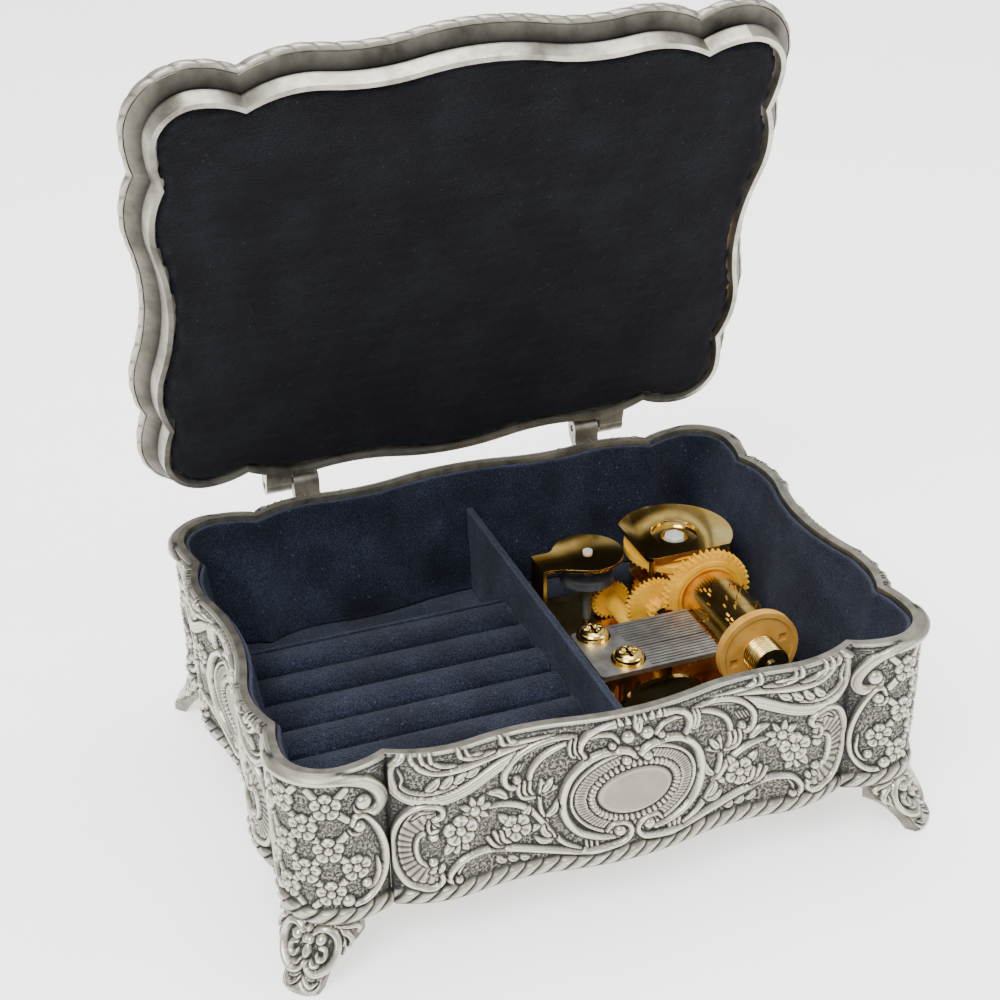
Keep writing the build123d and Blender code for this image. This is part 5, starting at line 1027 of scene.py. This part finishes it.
# Its outline is cut at the first height, and the skin's edge is tucked in at the second one.
DOME_EDGE = 9.58
DOME_TUCK = 9.45
DOME_POINTS = 1080
DOME_RELIEF = 1.05
dome_wall = Wall(47.0, DOME_MIDDLE, 66.0)
dome_wall.height = bark(dome_wall.height.shape, 41)
cartouche(dome_wall)
crown(dome_wall)
side_scroll = [(13.6, 37.6), (17.0, 38.8), (21.0, 37.8), (24.6, 34.6), (27.8, 31.4), (31.6, 30.3),
               (35.2, 31.6), (36.9, 34.8), (35.8, 38.2), (32.8, 39.4), (30.2, 38.0), (29.8, 35.4),
               (31.6, 34.0)]
stroke(dome_wall, side_scroll, 1.5, 1.4, 0.5, 0.7, ((0.3, 0.14),))
ball(dome_wall, (32.6, 35.8), 1.3, 1.4)
corner_c = [(40.2, 43.4), (37.6, 43.2), (35.4, 44.6), (32.0, 47.4), (29.6, 51.0), (28.9, 55.0), (30.0, 58.2)]
stroke(dome_wall, corner_c, 1.5, 1.4, 0.6, 0.6, ((-0.3, 0.14),))
ball(dome_wall, (39.4, 44.9), 1.1, 1.35)
ball(dome_wall, (31.5, 57.0), 1.0, 1.35)
top_scroll = [(0.6, 48.2), (3.2, 49.2), (5.2, 52.0), (8.6, 54.6), (12.8, 54.8), (15.8, 52.2), (15.6, 48.8),
              (12.8, 47.0), (10.2, 48.4), (10.4, 51.0), (12.2, 51.6)]
stroke(dome_wall, top_scroll, 1.5, 1.4, 0.5, 0.7, ((0.3, 0.14),))
ball(dome_wall, (12.9, 50.0), 1.2, 1.4)
fern = [(16.6, 55.0), (19.6, 57.2), (23.4, 57.6), (26.6, 55.4), (27.2, 52.4), (25.4, 50.6)]
stroke(dome_wall, fern, 1.2, 1.2, 0.4, 0.7)
for root, tip, width, bend in (
    ((14.8, 28.7), (20.6, 28.7), 2.8, 0.0), ((14.8, 29.9), (19.8, 33.0), 2.2, 0.1),
    ((14.2, 31.6), (17.4, 36.2), 2.0, 0.1), ((24.0, 35.6), (27.0, 40.4), 2.2, 0.12),
    ((20.6, 38.2), (21.4, 42.4), 2.0, 0.1), ((28.6, 31.2), (30.6, 33.2), 1.6, 0.0),
    ((36.4, 37.4), (39.6, 40.4), 2.0, -0.1), ((37.6, 35.4), (40.6, 37.2), 1.8, 0.0),
    ((37.4, 33.0), (40.8, 33.4), 1.8, 0.0), ((36.4, 31.2), (39.6, 29.4), 1.8, 0.0),
    ((32.4, 40.0), (33.6, 43.8), 2.0, 0.1), ((0.0, 49.8), (0.0, 55.4), 2.8, 0.0),
    ((1.4, 50.0), (3.0, 55.4), 2.2, 0.1), ((5.4, 53.2), (5.0, 58.0), 2.0, 0.1),
    ((8.8, 55.4), (8.6, 59.4), 2.0, 0.0), ((12.6, 55.6), (13.8, 59.2), 1.8, 0.0),
    ((16.4, 50.6), (19.6, 50.0), 1.7, 0.0), ((15.4, 46.6), (17.6, 43.2), 1.8, 0.1),
    ((9.6, 47.6), (6.4, 47.0), 1.6, 0.0), ((31.0, 51.2), (33.0, 49.0), 1.6, 0.0),
    ((30.6, 53.8), (32.0, 55.2), 1.6, 0.0), ((20.4, 57.6), (20.6, 60.2), 1.8, 0.0),
    ((24.6, 57.2), (26.2, 60.0), 1.8, 0.0), ((0.0, 57.4), (2.6, 59.8), 2.0, 0.0),
):
    leaf(dome_wall, root, tip, width, 1.0, bend)
for at, radius, count, turn in (
    ((24.8, 28.7), 2.7, 8, 0.0), ((22.6, 53.2), 3.3, 5, 60.0), ((36.2, 53.4), 4.2, 5, 45.0),
    ((26.8, 45.4), 3.5, 8, 20.0), ((21.2, 45.8), 2.5, 5, 90.0), ((36.0, 47.0), 1.9, 5, 0.0),
    ((26.0, 41.2), 1.7, 5, 0.0), ((3.6, 45.9), 1.9, 5, 90.0),
):
    flower(dome_wall, at, radius, count, 1.1, turn, count == 8)
spots, _, travelled = evenly(lid_outline(DOME_EDGE), DOME_POINTS)
# The rings start on the right, so that the two halves meet along the lid's middle line, where the rings
# close in on a line half as long as the lid is wide.
first = int(np.argmin(np.abs(spots[:-1, 1]) + 1000 * (spots[:-1, 0] < 0)))
spots = np.roll(spots[:-1], -first, axis=0)
spots = np.vstack([spots, spots[:1]])
ring = np.concatenate([[1.0], np.linspace(1.0, DOME_FLAT, 66), np.linspace(DOME_FLAT, 0.0, 74)[1:]])[:, None]
inside = np.clip(ring / DOME_FLAT, 0, 1)[..., None]
middle_line = inside * DOME_FLAT * spots + (1 - inside) * (spots * (0.5, 0.0))
plan = np.where(ring[..., None] >= DOME_FLAT, ring[..., None] * spots, middle_line)
cells = np.abs(plan) / DOME_SCALE / GRID
rows = np.clip(cells[..., 1], 0, dome_wall.height.shape[0] - 1).astype(int)
columns = np.clip(cells[..., 0] + 5, 0, dome_wall.height.shape[1] - 1).astype(int)
heights = blurred(dome_wall.height, 1)[rows, columns]
roped = rope(travelled[None, :] * 0.8, (1 - ring) / (1 - DOME_RIM)) + 0.15
heights = np.where(ring > DOME_RIM, roped, heights)
heights = np.where((ring <= DOME_RIM) & (ring > DOME_RIM - 0.012), 0.05, heights)
rise = np.interp(ring[:, 0], *zip(*DOME_SECTION))[:, None] + 0.08 + heights * DOME_RELIEF
rise[0] = DOME_TUCK
places = on_lid(plan[..., 0], plan[..., 1], rise)
half = heights.shape[1] // 2
for name, these in (("back", slice(0, half + 1)), ("front", slice(half, None))):
    part = places[:, these], heights[:, these]
    skin(f"lid_{name}_dome_carving", *part, "lid", carved_pewter, "pewter", 0, True)

inward = tuple(-LID_UP)
# The lid's panel wears the velvet in painted shade.
wrapped_in_velvet("lid_lining", "lid_panel_velvet", 0.0011, 2, "lid", lid_velvet_in_painted_shade, inward, 0.0005)

# Musical movement: bedplate, comb base, spring cover and brackets are stamped or cast zinc and
# brass, polished and gold plated; the comb is ground spring steel.
polished_gold = metal("polished gold plate", "#D9B04E", "#F6DE92", 0.09, 0.006, "all", 0.02)
dress(polished_gold, "movement_bedplate", "spring_barrel", "comb_screws", "bracket_screw", "winding_key")
dress(
    metal("satin gold plate", "#D2A84A", "#F2D588", 0.2, 0.003, "z", 0.08),
    "comb_base", "cylinder", "threaded_bushing",
)

# Spring cover and governor bracket: stamped, so their edges are rolled over and catch the light.
ROLLED_EDGE = 0.0003
# Faces larger than this in square metres are the flat sheet itself, and mirror the room without a bend.
FLAT_FACE = 0.0000012
for node in ("spring_cover", "governor_bracket"):
    piece = copy_of(node, f"stamped_{node}")
    bpy.ops.object.mode_set(mode="EDIT")
    bpy.ops.mesh.select_all(action="SELECT")
    bpy.ops.mesh.dissolve_limited(angle_limit=math.radians(0.5))
    bpy.ops.object.mode_set(mode="OBJECT")
    roll = piece.modifiers.new("rolled_edge", "BEVEL")
    roll.width = ROLLED_EDGE
    roll.segments = 3
    roll.limit_method = "ANGLE"
    roll.angle_limit = math.radians(35)
    roll.use_clamp_overlap = True
    apply_all(piece)
    bpy.ops.object.shade_smooth_by_angle(angle=math.radians(35))
    for face in piece.data.polygons:
        face.use_smooth = face.area < FLAT_FACE
    piece.data.materials.append(polished_gold)
    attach(piece, "case")
    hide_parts(node)

dress(metal("ground spring steel", "#A3A29E", "#CBCAC6", 0.42, 0.003, "x", 0.2), "comb")


# Plastic train: acetal gears the colour of amber, a tan end disc, a clear hub and cap, and a
# frosted grey fan, all injection moulded.
def moulded(name, dark, bright, roughness, waver, glow=0.0, clear=0.0):
    """Moulded plastic: its tone drifts over 3 mm, with a fine 0.2 mm mould texture."""
    material, tree, shader, place = new_material(name)
    drift = add(tree, "ShaderNodeTexNoise", [("Vector", place)], Scale=waver, Detail=3.0)
    colour = add(tree, "ShaderNodeValToRGB", [("Fac", drift.outputs["Fac"])], ((0.3, dark), (0.7, bright)))
    tree.links.new(colour.outputs["Color"], shader.inputs["Base Color"])
    grain = add(tree, "ShaderNodeTexNoise", [("Vector", place)], Scale=5000.0, Detail=2.0)
    bump = add(tree, "ShaderNodeBump", [("Height", grain.outputs["Fac"])], Strength=0.06, Distance=0.0001)
    tree.links.new(bump.outputs["Normal"], shader.inputs["Normal"])
    shader.inputs["Roughness"].default_value = roughness
    shader.inputs["Subsurface Weight"].default_value = glow
    shader.inputs["Subsurface Radius"].default_value = (0.001, 0.0006, 0.0003)
    shader.inputs["Subsurface Scale"].default_value = 1.0
    shader.inputs["Transmission Weight"].default_value = clear
    return material


dress(
    moulded("amber acetal", "#D9A01E", "#F2BC3C", 0.36, 300.0, 0.1),
    "cylinder_gear", "cylinder_pinion", "intermediate_gear", "worm_wheel", "drive_gear",
)
dress(moulded("tan acetal", "#B98634", "#CF9E4C", 0.4, 300.0, 0.05), "end_disc")
dress(moulded("clear nylon", "#DFDFD8", "#F1F0EA", 0.3, 400.0, 0.1, 0.35), "nylon_hub", "pivot_cap")
dress(moulded("frosted grey nylon", "#4C4F54", "#6C7076", 0.22, 400.0, 0.0, 0.5), "governor")

# Screw heads of the comb: domed, gold plated, each with a cross recess and four small nicks
# between its arms, pressed in when the head is formed.
bright_gold = metal("polished gold plate, screw heads", "#DDB75A", "#F7E19A", 0.2, 0.002, "all", 0.06)
SCREW_PLACES = ((11.0, -5.6), (14.3, -16.0))
HEAD_LOW = 32.55
HEAD_RADIUS = 3.2
HEAD_RISE = 1.75
RECESS_DEPTH = 0.55
# The nicks lie between the recess's arms, this far round in radians.
NICKS_TURN = 0.785
rings, turns_round = np.meshgrid(np.linspace(1, 0, 30), np.radians(np.linspace(0, 360, 121)), indexing="ij")
dome = np.sqrt(np.clip(1 - rings**2.6, 0, 1))
arms = np.minimum(np.abs(np.sin(turns_round)), np.abs(np.cos(turns_round))) * rings
between_arms = turns_round - NICKS_TURN
nicks = np.minimum(np.abs(np.sin(between_arms)), np.abs(np.cos(between_arms))) * rings
recess = np.clip((0.15 - arms) / 0.07, 0, 1) * np.clip((0.62 - rings) / 0.08, 0, 1)
nicked = np.clip((0.06 - nicks) / 0.04, 0, 1) * np.clip((0.46 - rings) / 0.08, 0, 1)
recess = np.maximum(recess, 0.6 * nicked)
recess = np.maximum(recess, np.clip((0.26 - rings) / 0.1, 0, 1))
for number, (x, y) in enumerate(SCREW_PLACES):
    places = np.dstack([
        x + HEAD_RADIUS * rings * np.cos(turns_round),
        y + HEAD_RADIUS * rings * np.sin(turns_round),
        HEAD_LOW + HEAD_RISE * dome - RECESS_DEPTH * recess,
    ])
    skin(f"comb_screw_head_{number + 1}", places, 1 - recess, "case", bright_gold, "gold", 0, True)

# Thread round the cylinder's bushing and its bearing: rolled brass, where the cylinder is held while
# its pins are set. The rear half turns with the cylinder, and the front one is clamped in the post.
THREAD_PITCH = 0.66
THREAD_DEPTH = 0.34
THREAD_AXIS = (40.8, 31.4)
THREAD_RADIUS = 3.52
for name, body, rear, front, core, first, last in (
    ("bushing_thread", "cylinder", -22.4, -24.9, 2.4, 0, 360),
    ("bearing_thread", "case", -25.0, -28.02, 3.3, -14, 194),
):
    angles = np.radians(np.linspace(first, last, 73))
    steps, turns_round = np.meshgrid(np.linspace(0, 1, 61), angles, indexing="ij")
    depth = rear + (front - rear) * np.minimum(steps / 0.98, 1)
    ridge = np.abs(np.cos(math.pi * depth / THREAD_PITCH + turns_round / 2)) ** 0.6
    reach = THREAD_RADIUS + THREAD_DEPTH * ridge
    reach[-1] = core
    if body == "case":
        reach[:, (0, -1)] = core
    places = np.dstack([
        THREAD_AXIS[0] + reach * np.cos(turns_round),
        depth,
        THREAD_AXIS[1] + reach * np.sin(turns_round),
    ])
    skin(name, places, ridge, body, bright_gold, "gold", 0, True)

low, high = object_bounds()
